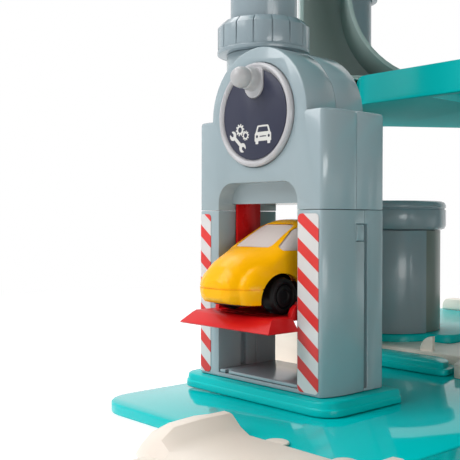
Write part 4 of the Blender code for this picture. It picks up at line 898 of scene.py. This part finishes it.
def turned(profile):
    """A closed profile of (radius, height) turned round the Z axis."""
    bm = bmesh.new()
    points = [bm.verts.new((radius * MM, 0.0, height * MM)) for radius, height in profile]
    edges = [bm.edges.new(pair) for pair in zip(points, points[1:] + points[:1])]
    bmesh.ops.spin(
        bm,
        geom=points + edges,
        cent=(0, 0, 0),
        axis=(0, 0, 1),
        angle=2 * math.pi,
        steps=TURN_STEPS,
        use_duplicate=False,
    )
    bmesh.ops.remove_doubles(bm, verts=bm.verts, dist=SAME_TURNED_POINT * MM)
    return bm


def facet_mesh(height):
    """One facet on the X axis, with its chamfer at the top and rounded edges."""
    bm = bmesh.new()
    rings = []
    half = math.pi / FACETS * FACET_SHARE
    for radius, z in (
        (COLLAR_R - 0.6, SKIRT + 0.15),
        (COLLAR_R - 0.05, SKIRT + 0.6),
        (COLLAR_R - 0.05, height - 3.3),
        (COLLAR_R - 3.1, height - 0.05),
    ):
        width = radius * math.sin(half)
        reach = radius * math.cos(half)
        inner = reach - FACET_DEPTH
        narrow = width * FACET_TAPER
        ring = [(inner, -narrow), (reach, -width), (reach, width), (inner, narrow)]
        rings.append([(x * MM, y * MM, z * MM) for x, y in ring])
    add_loft(bm, rings)
    bmesh.ops.bevel(
        bm,
        geom=bm.edges,
        offset=FACET_EDGE * MM,
        segments=2,
        affect="EDGES",
        profile=0.5,
        clamp_overlap=True,
    )
    return mesh_from(bm, "collar_facet")


def build_ring_tree():
    """Repeats one object round the Z axis, joins it to the core and gives one material."""
    tree = bpy.data.node_groups.new("ring_of_facets", "GeometryNodeTree")
    for label, kind in (
        ("Core", "NodeSocketGeometry"),
        ("Facet", "NodeSocketObject"),
        ("Count", "NodeSocketInt"),
        ("Material", "NodeSocketMaterial"),
    ):
        tree.interface.new_socket(label, in_out="INPUT", socket_type=kind)
    tree.interface.new_socket("Geometry", in_out="OUTPUT", socket_type="NodeSocketGeometry")
    start = tree.nodes.new("NodeGroupInput")
    end = tree.nodes.new("NodeGroupOutput")
    facet = tree.nodes.new("GeometryNodeObjectInfo")
    points = tree.nodes.new("GeometryNodePoints")
    index = tree.nodes.new("GeometryNodeInputIndex")
    spin = tree.nodes.new("ShaderNodeMath")
    spin.operation = "DIVIDE"
    angle = tree.nodes.new("ShaderNodeMath")
    angle.operation = "MULTIPLY"
    angle.inputs[1].default_value = 2 * math.pi
    turn = tree.nodes.new("ShaderNodeCombineXYZ")
    copies = tree.nodes.new("GeometryNodeInstanceOnPoints")
    both = tree.nodes.new("GeometryNodeJoinGeometry")
    real = tree.nodes.new("GeometryNodeRealizeInstances")
    finish = tree.nodes.new("GeometryNodeSetMaterial")
    link = tree.links.new
    link(start.outputs["Facet"], facet.inputs["Object"])
    link(start.outputs["Count"], points.inputs["Count"])
    link(index.outputs[0], spin.inputs[0])
    link(start.outputs["Count"], spin.inputs[1])
    link(spin.outputs[0], angle.inputs[0])
    link(angle.outputs[0], turn.inputs["Z"])
    link(points.outputs[0], copies.inputs["Points"])
    link(facet.outputs["Geometry"], copies.inputs["Instance"])
    link(turn.outputs[0], copies.inputs["Rotation"])
    link(start.outputs["Core"], both.inputs[0])
    link(copies.outputs[0], both.inputs[0])
    link(both.outputs[0], real.inputs[0])
    link(real.outputs[0], finish.inputs["Geometry"])
    link(start.outputs["Material"], finish.inputs["Material"])
    link(finish.outputs[0], end.inputs[0])
    return tree


RING_TREE = build_ring_tree()


def build_collar(node, centre):
    """A ring collar round the column that stands at the centre."""
    low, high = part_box(node)
    height = (high[2] - low[2]) / MM
    outer = COLLAR_R - FACET_LESS
    profile = [
        (COLLAR_BORE, 0.0),
        (COLLAR_R - 0.35, 0.0),
        (COLLAR_R - 0.1, 0.12),
        (COLLAR_R, 0.4),
        (COLLAR_R, SKIRT - 0.3),
        (COLLAR_R - 0.2, SKIRT),
        (outer, SKIRT + 0.15),
        (outer - 0.5, height - 3.4),
        (outer - 3.3, height - 0.1),
        (outer - 3.6, height),
        (COLLAR_BORE, height),
    ]
    foot = world_point(*centre, 0.0)
    foot.z = low[2]
    core = scratch(node + "_core", turned(profile))
    facet = bpy.data.objects.new(node + "_facet", facet_mesh(height))
    PICTURE.objects.link(facet)
    ring = core.modifiers.new("facets", "NODES")
    ring.node_group = RING_TREE
    values = {"Facet": facet, "Count": FACETS, "Material": FINISH["tube"]}
    for socket in RING_TREE.interface.items_tree:
        if socket.item_type == "SOCKET" and socket.in_out == "INPUT" and socket.name in values:
            ring[socket.identifier] = values[socket.name]
    mesh = applied(core).data
    mesh.transform(Matrix.Translation(foot))
    bpy.data.objects.remove(core)
    bpy.data.objects.remove(facet)
    add_piece(node + "_ring", mesh, FINISH["tube"], node)


for node, centre in COLLARS.items():
    build_collar(node, centre)


# Camera
camera_data = bpy.data.cameras.new("camera")
camera_data.sensor_width = 36.0
camera_data.lens = CAMERA_LENS
camera_data.clip_start = 0.01
camera = bpy.data.objects.new("camera", camera_data)
camera.location = Vector(CAMERA_AT) * MM
camera.rotation_euler = (
    math.radians(90.0 + CAMERA_PITCH),
    math.radians(CAMERA_ROLL),
    math.radians(CAMERA_YAW),
)
PICTURE.objects.link(camera)
bpy.context.scene.camera = camera


# Light and floor
def lamp(name, at, towards, size, power):
    """A soft box lamp; places and sizes in metres, power in watts."""
    data = bpy.data.lights.new(name, "AREA")
    data.shape = "RECTANGLE"
    data.size, data.size_y = size
    data.energy = power
    made = bpy.data.objects.new(name, data)
    made.location = at
    made.rotation_euler = (Vector(towards) - Vector(at)).to_track_quat("-Z", "Y").to_euler()
    PICTURE.objects.link(made)


lamp("key", (-0.6, -1.3, 1.3), (0.0, 0.0, 0.1), (1.2, 1.2), 21.0)
lamp("fill", (1.3, -0.4, 0.06), (0.0, 0.0, 0.06), (0.9, 0.4), 8.0)
lamp("top", (-0.7, 0.1, 1.45), (0.0, 0.0, 0.0), (1.2, 1.2), 12.0)

# Surroundings: pale all round, with a dim warm side high on the right
DIM_SIDE = (0.86, 0.10, 0.50)
DIM_COLOUR = (0.30, 0.22, 0.17, 1.0)
# Cosines of the angle to the dim side between which it fades in
DIM_FROM = 0.15
DIM_TO = 0.75
# Strengths of the surroundings for matt faces, for mirroring faces and for the camera
MATT_STRENGTH = 0.5
MIRROR_STRENGTH = 0.9
BACKDROP_STRENGTH = 1.0
world = bpy.data.worlds.new("studio")
world.use_nodes = True
bpy.context.scene.world = world
sky = world.node_tree


def sky_background(strength, colour=None):
    made = sky.nodes.new("ShaderNodeBackground")
    made.inputs["Strength"].default_value = strength
    made.inputs["Color"].default_value = WHITE
    if colour:
        sky.links.new(colour, made.inputs["Color"])
    return made.outputs[0]


def sky_choice(mask, first, second):
    made = sky.nodes.new("ShaderNodeMixShader")
    sky.links.new(mask, made.inputs[0])
    sky.links.new(first, made.inputs[1])
    sky.links.new(second, made.inputs[2])
    return made.outputs[0]


direction = sky.nodes.new("ShaderNodeTexCoord").outputs["Generated"]
facing = sky.nodes.new("ShaderNodeVectorMath")
facing.operation = "DOT_PRODUCT"
facing.inputs[1].default_value = DIM_SIDE
sky.links.new(direction, facing.inputs[0])
dim = sky.nodes.new("ShaderNodeMapRange")
dim.interpolation_type = "SMOOTHSTEP"
dim.inputs["From Min"].default_value = DIM_FROM
dim.inputs["From Max"].default_value = DIM_TO
sky.links.new(facing.outputs["Value"], dim.inputs["Value"])
tone = sky.nodes.new("ShaderNodeMix")
tone.data_type = "RGBA"
tone.inputs["A"].default_value = WHITE
tone.inputs["B"].default_value = DIM_COLOUR
sky.links.new(dim.outputs["Result"], tone.inputs["Factor"])
paths = sky.nodes.new("ShaderNodeLightPath")
glossy = paths.outputs["Is Glossy Ray"]
mirror = math_node(sky, "MAXIMUM", glossy, paths.outputs["Is Transmission Ray"])
matt_light = sky_background(MATT_STRENGTH, tone.outputs["Result"])
mirror_light = sky_background(MIRROR_STRENGTH, tone.outputs["Result"])
around = sky_choice(mirror, matt_light, mirror_light)
around = sky_choice(paths.outputs["Is Camera Ray"], around, sky_background(BACKDROP_STRENGTH))
sky.links.new(around, sky.nodes["World Output"].inputs["Surface"])


# Floor paper: distances in metres between which it fades into the backdrop
FLOOR_NEAR = 0.3
FLOOR_FAR = 0.75
FLOOR_R = 3.0
PAPER_COLOUR = (0.9, 0.9, 0.9, 1.0)
PAPER_GLOW = 0.2


def floor_paper():
    """White paper that turns into the plain white of the background with distance."""
    paper = bpy.data.materials.new("floor_paper")
    paper.use_nodes = True
    tree = paper.node_tree
    shader = tree.nodes["Principled BSDF"]
    shader.inputs["Base Color"].default_value = PAPER_COLOUR
    shader.inputs["Roughness"].default_value = 1.0
    shader.inputs["Specular IOR Level"].default_value = 0.0
    shader.inputs["Emission Color"].default_value = WHITE
    shader.inputs["Emission Strength"].default_value = PAPER_GLOW
    place = tree.nodes.new("ShaderNodeTexCoord").outputs["Object"]
    distance = tree.nodes.new("ShaderNodeVectorMath")
    distance.operation = "LENGTH"
    tree.links.new(place, distance.inputs[0])
    fade = tree.nodes.new("ShaderNodeMapRange")
    fade.interpolation_type = "SMOOTHSTEP"
    fade.inputs["From Min"].default_value = FLOOR_NEAR
    fade.inputs["From Max"].default_value = FLOOR_FAR
    tree.links.new(distance.outputs["Value"], fade.inputs["Value"])
    glow = tree.nodes.new("ShaderNodeEmission")
    blend = tree.nodes.new("ShaderNodeMixShader")
    tree.links.new(fade.outputs["Result"], blend.inputs[0])
    tree.links.new(shader.outputs[0], blend.inputs[1])
    tree.links.new(glow.outputs[0], blend.inputs[2])
    tree.links.new(blend.outputs[0], tree.nodes["Material Output"].inputs["Surface"])
    return paper


def build_floor():
    """A wide pale sweep under the toy, level with its feet."""
    bm = bmesh.new()
    bmesh.ops.create_circle(bm, cap_ends=True, radius=FLOOR_R, segments=96)
    mesh = bpy.data.meshes.new("studio_floor")
    bm.to_mesh(mesh)
    bm.free()
    made = bpy.data.objects.new("studio_floor", mesh)
    PICTURE.objects.link(made)
    mesh.materials.append(floor_paper())


build_floor()

bpy.context.scene.view_settings.view_transform = "Standard"
